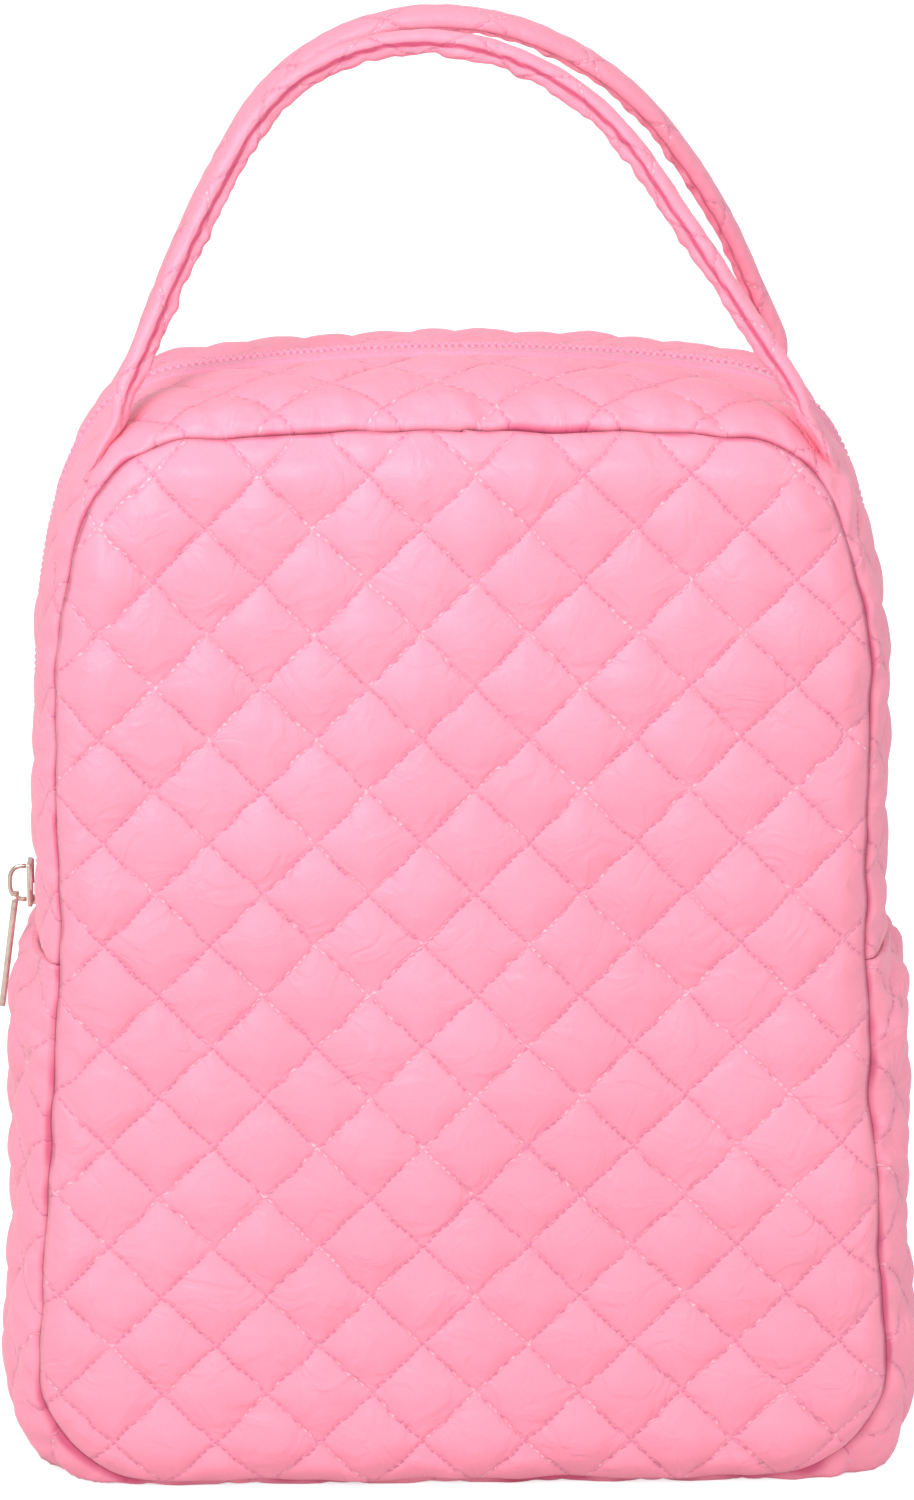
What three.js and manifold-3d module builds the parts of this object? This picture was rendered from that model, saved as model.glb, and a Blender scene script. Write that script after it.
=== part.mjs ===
// A quilted makeup bag with a two-way gusset, a zip round its upper half and two arched carry handles.
// Millimetres, +Z up, the front towards -Y. The origin is the middle of the base, on the resting plane.
import * as THREE from "three";
import { mergeVertices } from "three/addons/utils/BufferGeometryUtils.js";
import Module from "manifold-3d";

const wasm = await Module();
wasm.setup();

// ---- Driving dimensions -------------------------------------------------------------------------
const GAP = 0.3; // left between pieces that touch

// The seam outline, where the front and back panels are sewn to the gusset.
const SEAM_HALF_BASE = 102.5; // half width just above the base corners
const SEAM_HALF_UPPER = 95.5; // half width from the zip ends up to the shoulders
const SEAM_BOTTOM = 4;
const SEAM_TOP = 261.5;
const BASE_RADIUS = 26; // lower corners of the outline
const SHOULDER_HEIGHT = 65.5; // from where the sides start to curve in, up to the top
const SHOULDER_PULL = 36; // how stiffly the side runs on into the shoulder
const SHOULDER_REACH = 29; // how stiffly the top runs on into the shoulder
const SHOULDER_WIDTH = 33.5; // from the side in to the nearly flat top
const TOP_DIP = 1.5; // how much lower the top is at the shoulders than in the middle

// Depth of the bag and how far its quilted surfaces stand out.
const HALF_DEPTH = 46; // to each seam
const PANEL_BULGE = 6; // front and back panels, proud of the seam
const PANEL_ROLL = 14; // width over which a panel rolls down to its seam
const WALL = 4.5; // quilted fabric with its wadding
const LINING = 1;
const CROWN_UPPER = 8; // zip strips, proud of the seam outline
const CROWN_LOWER = 12; // base gusset, proud of the seam outline
const CROWN_REACH = 30; // depth over which the gusset rises to its crown
const TURNED_EDGE = 2; // upper edge of the base gusset, turned in to meet the zip strips
const BINDING = 3; // taped edge inside each seam

// The zip.
const ZIP_END_Z = 132; // where the zip meets the base gusset, on both sides
const TEETH_GAP = 1.2; // between the two rows, so that the slider's wedge can pass
const TEETH_WIDTH = 2.1; // one row
const TEETH_PROUD = 0.3;
const TEETH_DEEP = 2.3;
const TAPE_WIDTH = 3.2; // woven tape that shows beside one row
const TAPE_THICK = 1;
const TAPE_SINK = 0.5; // below the crown
const STOP_LENGTH = 1.6;

// The slider, its bail and its pull.
const SLIDER_LENGTH = 11;
const SLIDER_WIDTH = 7.6;
const PLATE_THICK = 1.2;
const PLATE_CLEAR = 0.6; // between a plate and the teeth
const WEDGE_WIDTH = 0.5;
const WEDGE_LENGTH = 2.5;
const BAIL_LENGTH = 9.5;
const BAIL_RISE = 4.6;
const BAIL_WIRE = 1.1;
const BAIL_WIDTH = 1.2;
const PULL_LENGTH = 27.5;
const PULL_WIDTH = 4.6;
const PULL_THICK = 1.7;
const PULL_CLEAR = 1; // beside the base gusset's upper edge, as the pull hangs
const EYE_BAR = 1.1;
const EYE_LENGTH = 3.6;
const EYE_WIDTH = 2.2;

// The handles.
const HANDLE_ABOVE_TOP = 86.5; // from the top seam to the middle of the strap, at the top of the arch
const HANDLE_APEX_Y = 12; // middle of the strap, from the bag's mid-plane
const HANDLE_RADIUS = 58; // of the arch, to the middle of the strap
const STRAP_THICK = 7;
const STRAP_DEEP = 11;
const STRAP_CORNER = 2.6;
const FOOT_SHARE = 0.66; // where a foot sits along the shoulder curve
const FOOT_Y = 38; // from the bag's mid-plane
const FOOT_LENGTH = 18; // patch sewn down on the gusset
const FOOT_THICK = 2.5;
const FOOT_DROP = 12; // from the strap's turning line down to the gusset
const STUB_LEAN = THREE.MathUtils.degToRad(30); // of the strap's sewn-down end, off the vertical
const TURN_CLEAR = 0.8; // under the strap's end, as it turns

// Fineness of the facets.
const CURVE_STEPS = 7;
const ROLL_STEPS = 3;
const STRAP_STEPS = 24;

// ---- Materials ----------------------------------------------------------------------------------
const PINK = 0xf8a5c0;
const DEEP_PINK = 0xe9809f;
const METAL = 0xd9cdbd;
const fabric = (color) => new THREE.MeshStandardMaterial({ color, roughness: 0.55, metalness: 0 });
const metal = () => new THREE.MeshStandardMaterial({ color: METAL, roughness: 0.3, metalness: 1 });

// ---- Solids -------------------------------------------------------------------------------------
// A closed three.js geometry as a solid that can be joined and cut.
function solid(geometry) {
  const bare = geometry.clone();
  bare.deleteAttribute("normal");
  bare.deleteAttribute("uv");
  const merged = mergeVertices(bare, 1e-4);
  const vertProperties = new Float32Array(merged.attributes.position.array);
  const triVerts = new Uint32Array(merged.index.array);
  return new wasm.Manifold(new wasm.Mesh({ numProp: 3, vertProperties, triVerts }));
}

// A solid back as a three.js geometry with flat facets.
function faceted(body) {
  const mesh = body.getMesh();
  const geometry = new THREE.BufferGeometry();
  geometry.setAttribute("position", new THREE.BufferAttribute(mesh.vertProperties, 3));
  geometry.setIndex(new THREE.BufferAttribute(mesh.triVerts, 1));
  const flat = geometry.toNonIndexed();
  flat.computeVertexNormals();
  return flat;
}

function block(x, y, z) {
  const geometry = new THREE.BoxGeometry(x[1] - x[0], y[1] - y[0], z[1] - z[0]);
  geometry.translate((x[0] + x[1]) / 2, (y[0] + y[1]) / 2, (z[0] + z[1]) / 2);
  return solid(geometry);
}

// An outline in X and Z, moved out by grow and extruded along Y, swelling by roll over reach from each end.
function extruded(outline, halfDepth, roll = 0, reach = 0, grow = 0) {
  const geometry = new THREE.ExtrudeGeometry(new THREE.Shape(outline), {
    depth: 2 * (halfDepth - reach),
    steps: 1,
    bevelEnabled: reach > 0,
    bevelThickness: reach,
    bevelSize: roll,
    bevelOffset: grow,
    bevelSegments: ROLL_STEPS,
  });
  geometry.translate(0, 0, reach - halfDepth);
  geometry.rotateX(Math.PI / 2);
  return solid(geometry);
}

const FAR = 1000;
const ALL = [-FAR, FAR];
const above = (z) => block(ALL, ALL, [z, FAR]);
const between = (y0, y1) => block(ALL, [y0, y1], ALL);

// ---- Outlines -----------------------------------------------------------------------------------
const SHOULDER_Z = SEAM_TOP - SHOULDER_HEIGHT;
const TOP_HALF = SEAM_HALF_UPPER - SHOULDER_WIDTH;
const shoulder = new THREE.CubicBezierCurve(
  new THREE.Vector2(SEAM_HALF_UPPER, SHOULDER_Z),
  new THREE.Vector2(SEAM_HALF_UPPER, SHOULDER_Z + SHOULDER_PULL),
  new THREE.Vector2(TOP_HALF + SHOULDER_REACH, SEAM_TOP - TOP_DIP),
  new THREE.Vector2(TOP_HALF, SEAM_TOP - TOP_DIP),
);

// The right half from the middle of the base to the middle of the top, then its mirror image.
function seamOutline() {
  const corner = new THREE.Vector2(SEAM_HALF_BASE - BASE_RADIUS, SEAM_BOTTOM + BASE_RADIUS);
  const lean = Math.atan2(SEAM_HALF_BASE - SEAM_HALF_UPPER, ZIP_END_Z - corner.y);
  const path = new THREE.Path();
  path.moveTo(0, SEAM_BOTTOM);
  path.lineTo(corner.x, SEAM_BOTTOM);
  path.absarc(corner.x, corner.y, BASE_RADIUS, -Math.PI / 2, lean, false);
  path.lineTo(SEAM_HALF_UPPER, ZIP_END_Z);
  path.lineTo(SEAM_HALF_UPPER, SHOULDER_Z);
  path.curves.push(shoulder);
  path.currentPoint.copy(shoulder.v3);
  path.quadraticCurveTo(TOP_HALF / 2, SEAM_TOP, 0, SEAM_TOP);
  const right = path.getPoints(CURVE_STEPS);
  const left = right.slice(1, -1).reverse();
  return [...right, ...left.map((p) => new THREE.Vector2(-p.x, p.y))];
}
const seam = seamOutline();

// The outline moved outwards, square to its sides.
function grown(distance) {
  return seam.map((point, i) => {
    const before = seam[(i + seam.length - 1) % seam.length];
    const after = seam[(i + 1) % seam.length];
    const into = point.clone().sub(before).normalize();
    const out = after.clone().sub(point).normalize();
    const middle = into.clone().add(out).normalize();
    const outwards = new THREE.Vector2(middle.y, -middle.x);
    return point.clone().addScaledVector(outwards, distance / Math.max(0.5, middle.dot(into)));
  });
}
const prism = (distance, halfDepth) => extruded(grown(distance), halfDepth);

// ---- Pieces -------------------------------------------------------------------------------------
const bag = new THREE.Group();

function add(name, body, material, group = bag) {
  const mesh = new THREE.Mesh(body.isBufferGeometry ? body : faceted(body), material);
  mesh.name = name;
  group.add(mesh);
  return mesh;
}

const EDGE = HALF_DEPTH - GAP; // the gusset's edge beside a panel
const TEETH_INNER = TEETH_GAP / 2;
const TEETH_OUTER = TEETH_INNER + TEETH_WIDTH;
const TAPE_INNER = TEETH_OUTER + GAP;
const TAPE_OUTER = TAPE_INNER + TAPE_WIDTH;
const STRIP_INNER = TAPE_OUTER + GAP;
const LINING_OUT = WALL + GAP; // from a wall's outer face to its lining
const LINING_IN = LINING_OUT + LINING;
const LINED_EDGE = EDGE - LINING - GAP; // the gusset lining's edge beside a panel lining
const UPPER_FROM = ZIP_END_Z + GAP / 2;
const LOWER_TO = ZIP_END_Z - GAP / 2;

// The space inside a gusset's outer face, moved in by an outset, above a floor.
function crowned(crown, halfDepth, outset, floor) {
  return extruded(seam, halfDepth, crown, CROWN_REACH, -outset).intersect(above(floor));
}

// A gusset wall all round: its inner face runs parallel to its crowned outer face, and both sides are open.
function gusset(crown, halfDepth, outset, thickness, floor) {
  const deeper = outset + thickness;
  const inside = crowned(crown, halfDepth, deeper, floor + thickness).add(prism(-deeper, HALF_DEPTH));
  return crowned(crown, halfDepth, outset, floor).subtract(inside);
}

function addBaseGusset() {
  const wall = gusset(CROWN_LOWER, EDGE, 0, WALL, 0);
  const inside = crowned(CROWN_UPPER, EDGE, WALL, WALL).add(prism(-WALL, HALF_DEPTH));
  const turned = crowned(CROWN_LOWER, EDGE, 0, 0).subtract(inside).intersect(above(LOWER_TO - TURNED_EDGE));
  add("base_gusset", wall.add(turned).subtract(above(LOWER_TO)), fabric(PINK));
  const lining = gusset(CROWN_LOWER, LINED_EDGE, LINING_OUT, LINING, LINING_OUT);
  add("base_gusset_lining", lining.subtract(above(LOWER_TO - TURNED_EDGE - GAP)), fabric(DEEP_PINK));
}

function addZipStrips() {
  const wall = gusset(CROWN_UPPER, EDGE, 0, WALL, 0).intersect(above(UPPER_FROM));
  add("front_zip_strip", wall.intersect(between(-FAR, -STRIP_INNER)), fabric(PINK));
  add("rear_zip_strip", wall.intersect(between(STRIP_INNER, FAR)), fabric(PINK));
  const lining = gusset(CROWN_UPPER, LINED_EDGE, LINING_OUT, LINING, 0).intersect(above(UPPER_FROM));
  add("front_strip_lining", lining.intersect(between(-FAR, -STRIP_INNER)), fabric(DEEP_PINK));
  add("rear_strip_lining", lining.intersect(between(STRIP_INNER, FAR)), fabric(DEEP_PINK));
}

// One panel, front or back, from its flat inner face to its bulging outer face.
function panel(side) {
  const pillow = extruded(seam, HALF_DEPTH + PANEL_BULGE, PANEL_ROLL, PANEL_BULGE, -PANEL_ROLL);
  return pillow.intersect(side < 0 ? between(-FAR, -HALF_DEPTH) : between(HALF_DEPTH, FAR));
}

function panelLining(side) {
  const sheet = prism(-LINING_OUT, EDGE);
  return sheet.intersect(side < 0 ? between(-FAR, LINING - EDGE) : between(EDGE - LINING, FAR));
}

// The taped edge inside one seam.
function binding(side) {
  const ring = prism(-LINING_IN - GAP, LINED_EDGE).subtract(prism(-LINING_IN - GAP - BINDING, HALF_DEPTH));
  const inner = LINED_EDGE - BINDING;
  return ring.intersect(side < 0 ? between(-FAR, -inner) : between(inner, FAR));
}

function addPanels() {
  const upper = above(UPPER_FROM);
  const lower = above(LOWER_TO);
  const kinds = [
    ["panel", panel, PINK],
    ["panel_lining", panelLining, DEEP_PINK],
    ["seam_binding", binding, DEEP_PINK],
  ];
  for (const [kind, shape, colour] of kinds) {
    add(`back_${kind}`, shape(1), fabric(colour));
    add(`front_${kind}_upper`, shape(-1).intersect(upper), fabric(colour));
    add(`front_${kind}_lower`, shape(-1).subtract(lower), fabric(colour));
  }
}

// A band that follows the zip strips' crown, between two heights and two depths.
function crownBand(from, to, y0, y1, zFrom) {
  const ring = prism(CROWN_UPPER + to, HALF_DEPTH).subtract(prism(CROWN_UPPER + from, HALF_DEPTH + GAP));
  return ring.intersect(between(y0, y1)).intersect(above(zFrom));
}

function addZip() {
  const teethFrom = UPPER_FROM + STOP_LENGTH + GAP;
  const tape = [-TAPE_SINK - TAPE_THICK, -TAPE_SINK];
  const teeth = [-TEETH_DEEP, TEETH_PROUD];
  add("front_zip_tape", crownBand(...tape, -TAPE_OUTER, -TAPE_INNER, UPPER_FROM), fabric(PINK));
  add("rear_zip_tape", crownBand(...tape, TAPE_INNER, TAPE_OUTER, UPPER_FROM), fabric(PINK));
  add("front_zip_teeth", crownBand(...teeth, -TEETH_OUTER, -TEETH_INNER, teethFrom), fabric(DEEP_PINK));
  add("rear_zip_teeth", crownBand(...teeth, TEETH_INNER, TEETH_OUTER, teethFrom), fabric(DEEP_PINK));
  const stops = crownBand(...teeth, -TEETH_OUTER, TEETH_OUTER, UPPER_FROM);
  const low = stops.subtract(above(UPPER_FROM + STOP_LENGTH));
  add("left_zip_stop", low.subtract(block([0, FAR], ALL, ALL)), metal());
  add("right_zip_stop", low.intersect(block([0, FAR], ALL, ALL)), metal());
}

// The slider stands at the left end of the zip, over the teeth on the left side.
const CROWN_X = -(SEAM_HALF_UPPER + CROWN_UPPER);
const OUTER_PLATE_X = CROWN_X - TEETH_PROUD - PLATE_CLEAR;
const PLATE_FACE_X = OUTER_PLATE_X - PLATE_THICK;
const SLIDER_FROM = UPPER_FROM + STOP_LENGTH + 2 * GAP;
const SLIDER_MIDDLE_Z = SLIDER_FROM + SLIDER_LENGTH / 2;

function addSlider() {
  const innerFace = CROWN_X + TEETH_DEEP + PLATE_CLEAR;
  const y = [-SLIDER_WIDTH / 2, SLIDER_WIDTH / 2];
  const z = [SLIDER_FROM, SLIDER_FROM + SLIDER_LENGTH];
  const outerPlate = block([PLATE_FACE_X, OUTER_PLATE_X], y, z);
  const innerPlate = block([innerFace, innerFace + PLATE_THICK], y, z);
  const wedgeY = [-WEDGE_WIDTH / 2, WEDGE_WIDTH / 2];
  const wedge = block([PLATE_FACE_X, innerFace + PLATE_THICK], wedgeY, [z[0], z[0] + WEDGE_LENGTH]);
  add("zip_slider", outerPlate.add(innerPlate).add(wedge), metal());

  const bailX = PLATE_FACE_X - GAP;
  const halfLength = BAIL_LENGTH / 2;
  const bailY = [-BAIL_WIDTH / 2, BAIL_WIDTH / 2];
  const arch = block([bailX - BAIL_RISE, bailX], bailY, [-halfLength, halfLength]);
  const opening = block(
    [bailX - BAIL_RISE + BAIL_WIRE, FAR],
    [-BAIL_WIDTH, BAIL_WIDTH],
    [BAIL_WIRE - halfLength, halfLength - BAIL_WIRE],
  );
  add("slider_bail", arch.subtract(opening), metal()).position.z = SLIDER_MIDDLE_Z;
}

// The pull hangs in the bail's lower corner, tilted out past the base gusset, which stands proud of the zip.
function addPull() {
  const half = PULL_WIDTH / 2;
  const barZ = [EYE_BAR / 2 - PULL_LENGTH, EYE_BAR / 2];
  const bar = block([-PULL_THICK / 2, PULL_THICK / 2], [-half, half], barZ);
  const eyeZ = [-EYE_BAR / 2 - EYE_LENGTH, -EYE_BAR / 2];
  const eye = block([-PULL_THICK, PULL_THICK], [-EYE_WIDTH / 2, EYE_WIDTH / 2], eyeZ);
  const slimTop = block([-PULL_THICK, -EYE_BAR / 2], [-half, half], [eyeZ[0], PULL_THICK]);
  const slimBack = block([EYE_BAR / 2, PULL_THICK], [-half, half], [eyeZ[0], PULL_THICK]);
  const pull = add("zip_pull", bar.subtract(eye).subtract(slimTop).subtract(slimBack), metal());
  const turnX = PLATE_FACE_X - GAP - BAIL_RISE + BAIL_WIRE + GAP + EYE_BAR / 2;
  const turnZ = SLIDER_MIDDLE_Z - BAIL_LENGTH / 2 + BAIL_WIRE + GAP + EYE_BAR / 2;
  pull.position.set(turnX, 0, turnZ);
  const outwards = turnX + PULL_THICK / 2 + SEAM_HALF_UPPER + CROWN_LOWER + PULL_CLEAR;
  pull.rotation.y = Math.max(0, Math.atan2(outwards, turnZ - ZIP_END_Z));
}

// ---- Handles ------------------------------------------------------------------------------------
// How far the zip strip stands out past the seam outline, at a depth y from the mid-plane.
function crownAt(y) {
  const inwards = Math.min(1, (EDGE - Math.abs(y)) / CROWN_REACH);
  return CROWN_UPPER * Math.sqrt(1 - (1 - inwards) ** 2);
}

const footOnSeam = shoulder.getPoint(FOOT_SHARE);
const footTangent = shoulder.getTangent(FOOT_SHARE);
const footNormal = new THREE.Vector2(footTangent.y, -footTangent.x);
const footOnGusset = footOnSeam.clone().addScaledVector(footNormal, crownAt(FOOT_Y));
const TURN_X = footOnGusset.x - FOOT_DROP * Math.tan(STUB_LEAN);
const TURN_Z = footOnGusset.y + FOOT_DROP;
const ARCH_HEIGHT = SEAM_TOP + HANDLE_ABOVE_TOP - TURN_Z;
const LEAN = Math.atan2(FOOT_Y - HANDLE_APEX_Y, ARCH_HEIGHT);
const HANDLE_RISE = ARCH_HEIGHT / Math.cos(LEAN);

// The middle line of a handle in its own plane: up one leg, over the arch and down the other leg.
class HandleLine extends THREE.Curve {
  constructor() {
    super();
    const toFoot = new THREE.Vector2(TURN_X, HANDLE_RADIUS - HANDLE_RISE);
    const away = toFoot.length();
    this.leg = Math.sqrt(away ** 2 - HANDLE_RADIUS ** 2);
    this.turn = Math.PI / 2 - Math.acos(HANDLE_RADIUS / away) - Math.atan2(toFoot.y, toFoot.x);
    this.length = 2 * (this.leg + HANDLE_RADIUS * this.turn);
  }

  getPoint(share, target = new THREE.Vector3()) {
    const along = (share - 0.5) * this.length;
    const arc = Math.min(Math.abs(along) / HANDLE_RADIUS, this.turn);
    const rest = Math.abs(along) - HANDLE_RADIUS * arc;
    const across = HANDLE_RADIUS * Math.sin(arc) + rest * Math.cos(arc);
    const down = HANDLE_RADIUS * (1 - Math.cos(arc)) + rest * Math.sin(arc);
    return target.set(Math.sign(along) * across, 0, HANDLE_RISE - down);
  }
}

const handleLine = new HandleLine();

function strapSection() {
  const x = STRAP_DEEP / 2;
  const y = STRAP_THICK / 2;
  const c = STRAP_CORNER;
  const corners = [
    [x, c - y],
    [x, y - c],
    [x - c, y],
    [c - x, y],
    [-x, y - c],
    [-x, c - y],
    [c - x, -y],
    [x - c, -y],
  ];
  return new THREE.Shape(corners.map(([a, b]) => new THREE.Vector2(a, b)));
}

// The sewn-down end of a strap: a patch on the gusset and a stub that runs up to the turning line.
// side is -1 for the front handle and 1 for the rear one, and at is -1 for the left foot and 1 for the right.
function foot(side, at) {
  const patch = new THREE.BoxGeometry(FOOT_LENGTH, STRAP_DEEP, 2 * FOOT_THICK);
  patch.rotateY(at * Math.atan2(footNormal.x, footNormal.y));
  patch.translate(at * footOnGusset.x, side * FOOT_Y, footOnGusset.y);
  const stub = new THREE.BoxGeometry(STRAP_THICK, STRAP_DEEP, 2 * FOOT_DROP);
  stub.rotateY(-at * STUB_LEAN);
  stub.translate(at * TURN_X, side * FOOT_Y, TURN_Z);
  const clearOf = extruded(seam, EDGE, CROWN_UPPER, CROWN_REACH, GAP);
  const strapSweep = above(TURN_Z - STRAP_DEEP / 2 - TURN_CLEAR);
  return solid(patch).add(solid(stub)).subtract(strapSweep).subtract(clearOf);
}

function addHandle(name, side) {
  const strap = new THREE.ExtrudeGeometry(strapSection(), { steps: STRAP_STEPS, extrudePath: handleLine });
  const handle = add(`${name}_handle`, strap, fabric(PINK));
  handle.position.set(0, side * FOOT_Y, TURN_Z);
  handle.rotation.x = side * LEAN;
  add(`${name}_left_foot`, foot(side, -1), fabric(PINK));
  add(`${name}_right_foot`, foot(side, 1), fabric(PINK));
}

addBaseGusset();
addZipStrips();
addPanels();
addZip();
addSlider();
addPull();
addHandle("front", -1);
addHandle("rear", 1);

export default bag;
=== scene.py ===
"""A quilted makeup bag: padded panels and gussets, a zip over its top, and two arched carry handles."""

import math

import bmesh
import bpy
import numpy as np
from mathutils import Matrix, Vector


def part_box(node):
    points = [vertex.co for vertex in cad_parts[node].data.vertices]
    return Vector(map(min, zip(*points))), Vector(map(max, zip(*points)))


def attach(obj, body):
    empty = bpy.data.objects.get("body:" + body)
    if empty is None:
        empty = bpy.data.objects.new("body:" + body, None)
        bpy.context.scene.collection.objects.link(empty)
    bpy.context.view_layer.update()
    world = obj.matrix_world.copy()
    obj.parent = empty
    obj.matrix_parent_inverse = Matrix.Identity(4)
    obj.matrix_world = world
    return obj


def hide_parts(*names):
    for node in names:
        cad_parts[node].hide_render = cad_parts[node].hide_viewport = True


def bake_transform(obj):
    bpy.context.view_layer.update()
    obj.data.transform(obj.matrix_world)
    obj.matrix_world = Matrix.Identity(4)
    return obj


bl_info = {
    "name": "Quilted makeup bag",
    "version": (1, 0, 0),
    "blender": (4, 5, 0),
    "location": "3D View > Sidebar > Makeup bag",
    "description": "Builds a quilted makeup bag piece by piece on its packed frame",
    "category": "Add Mesh",
}

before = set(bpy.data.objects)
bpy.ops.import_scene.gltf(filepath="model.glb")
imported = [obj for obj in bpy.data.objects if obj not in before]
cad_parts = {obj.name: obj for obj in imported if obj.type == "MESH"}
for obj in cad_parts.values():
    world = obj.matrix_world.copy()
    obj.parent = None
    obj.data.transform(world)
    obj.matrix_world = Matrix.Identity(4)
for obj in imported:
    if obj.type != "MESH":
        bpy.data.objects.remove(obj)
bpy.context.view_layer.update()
MM = 0.001


def cad_box(node):
    """The low and the high corner of a CAD node's box, in mm."""
    return [np.array(corner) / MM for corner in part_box(node)]


# ---- Sizes of the bag, in millimetres ------------------------------------------------------------
BASE_HIGH = cad_box("base_gusset")[1]
BACK_LOW, BACK_HIGH = cad_box("back_panel")
STRIP_LOW, STRIP_HIGH = cad_box("rear_zip_strip")
SEAM_Y = BACK_LOW[1]
EDGE_Y = BASE_HIGH[1]
STRIP_INNER = STRIP_LOW[1]
SEAM_BOTTOM, SEAM_TOP = BACK_LOW[2], BACK_HIGH[2]
HALF_BASE = BACK_HIGH[0]
ZIP_LOW = STRIP_LOW[2]
BASE_TOP = BASE_HIGH[2]
HALF_UPPER = 95.5
CROWN_UPPER = STRIP_HIGH[2] - SEAM_TOP
CROWN_LOWER = BASE_HIGH[0] - HALF_BASE
CROWN_REACH = 30.0
BASE_RADIUS = 26.0
SHOULDER = np.array([(HALF_UPPER, 196.0), (HALF_UPPER, 232.0), (91.0, 260.0), (62.0, 260.0)])
TOP_REACH = 31.0
PANEL_BULGE = BACK_HIGH[1] - SEAM_Y
PANEL_ROLL = 15.0
HINGE_Z = 132.0
BAG_MIDDLE = np.array([0.0, 0.0, 130.0])
DEPTHWISE = np.array([0.0, 1.0, 0.0])


# ---- The seam outline ----------------------------------------------------------------------------
def run_along(line):
    """How far along a line each of its points lies."""
    return np.r_[0, np.cumsum(np.linalg.norm(np.diff(line, axis=0), axis=1))]


def evened(line, window):
    """A line with each of its points averaged over a window of its neighbours."""
    pad, share = len(window) // 2, window / window.sum()
    return np.stack([np.convolve(np.pad(column, pad, "edge"), share, "valid") for column in line.T], 1)


def seam_line():
    """The outline from the middle of the base, up the right side, to the middle of the top:
    how far along it each point lies, the points, and the outward direction at each."""
    corner = np.array([HALF_BASE - BASE_RADIUS, SEAM_BOTTOM + BASE_RADIUS])
    lean = math.atan2(HALF_BASE - HALF_UPPER, HINGE_Z - corner[1])
    angles = np.linspace(-math.pi / 2, lean, 120)
    arc = corner + BASE_RADIUS * np.stack([np.cos(angles), np.sin(angles)], 1)
    t = np.linspace(0, 1, 200)[:, None]
    weights = np.hstack([(1 - t) ** 3, 3 * t * (1 - t) ** 2, 3 * t * t * (1 - t), t**3])
    curve = weights @ SHOULDER
    lid = (1 - t) ** 2 * SHOULDER[3] + 2 * t * (1 - t) * (TOP_REACH, SEAM_TOP) + t**2 * (0.0, SEAM_TOP)
    ends = np.array([(0.0, SEAM_BOTTOM)]), np.array([(HALF_UPPER, HINGE_Z)])
    rough = np.vstack([ends[0], arc, ends[1], curve, lid])
    steps = run_along(rough)
    keep = np.r_[True, np.diff(steps) > 1e-6]
    s = np.arange(0, steps[-1], 0.5)
    points = np.stack([np.interp(s, steps[keep], rough[keep, k]) for k in (0, 1)], 1)
    onward = evened(np.gradient(points, s, axis=0), np.ones(25))
    onward /= np.linalg.norm(onward, axis=1)[:, None]
    return s, points, np.stack([onward[:, 1], -onward[:, 0]], 1)


SEAM_S, SEAM_XZ, SEAM_OUT = seam_line()
SEAM_LENGTH = SEAM_S[-1]


def on_seam(t, uneven=0.0):
    """The outline and its outward directions, t mm from the middle of the base, negative on the left.
    uneven is the share of the sewing's wander that the points follow, from 0 to 1."""
    s, side = np.abs(t), np.where(t < 0, -1.0, 1.0)
    x, z = (np.interp(s, SEAM_S, SEAM_XZ[:, k]) for k in (0, 1))
    out_x, out_z = (np.interp(s, SEAM_S, SEAM_OUT[:, k]) for k in (0, 1))
    wander = uneven * sewing_wander(t)
    return side * (x + wander * out_x), z + wander * out_z, side * out_x, out_z


def seam_length_to(z):
    """How far along the outline the side reaches a height."""
    return float(np.interp(z, SEAM_XZ[:, 1], SEAM_S))


def smooth(low, high, value):
    """0 below low, 1 above high and an even rise between them."""
    t = np.clip((value - low) / (high - low), 0, 1)
    return t * t * (3 - 2 * t)


def bump(away, reach):
    """1 where away is 0, with a soft fall to nothing past reach."""
    return np.exp(-((away / reach) ** 2))


def ripple(u, v, length, seed, waves=10):
    """Gentle unevenness with about that wavelength, mostly from -1 to 1, the same each time for a seed."""
    chance = np.random.default_rng(seed)
    total = np.zeros(np.broadcast(u, v).shape)
    for _ in range(waves):
        turn, phase = chance.uniform(0, 2 * math.pi, 2)
        size = chance.uniform(0.7, 1.5) * 2 * math.pi / length
        total += np.sin(size * (u * math.cos(turn) + v * math.sin(turn)) + phase)
    return total / math.sqrt(waves * 2)


def puffs(u, v, pitch):
    """Padding between the quilting lines: 0 on a line, 1 in the middle of a diamond."""
    share = [2 * np.abs(a - np.round(a)) for a in ((u + v) / pitch, (u - v) / pitch)]
    return ((1 - (1 - share[0]) ** 2.0) * (1 - (1 - share[1]) ** 2.0)) ** 0.72


def uneven_seam(away, along):
    """How strongly the shade of a seam shows away from it. The sewing pulls in more in some places."""
    pull = 0.8 + 0.25 * ripple(along, 0, 13, 95) + 0.3 * ripple(along, 0, 70, 96)
    return np.exp(-away) * np.clip(pull, 0.25, 1.3)


def crown(y, height):
    """How far a gusset stands out of the seam outline at a depth."""
    inward = np.clip((EDGE_Y - np.abs(y)) / CROWN_REACH, 0, 1)
    return height * np.sqrt(1 - (1 - inward) ** 2)


def sewing_wander(t):
    """How far the front and back seams stand out of the outline, t mm along it: they wander everywhere,
    ease in at the top and shoulders, and sag at the base."""
    q = SEAM_LENGTH - np.abs(t)
    eased = 1.2 * (1 - smooth(100, 140, q)) + 1.4 * bump(q - 98, 24)
    sagged = 2.3 * (1 - smooth(72, 106, np.abs(t)))
    return 0.42 * ripple(t, 0, 17, 91) + 0.4 * ripple(t, 0, 44, 92) - eased + sagged


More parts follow.
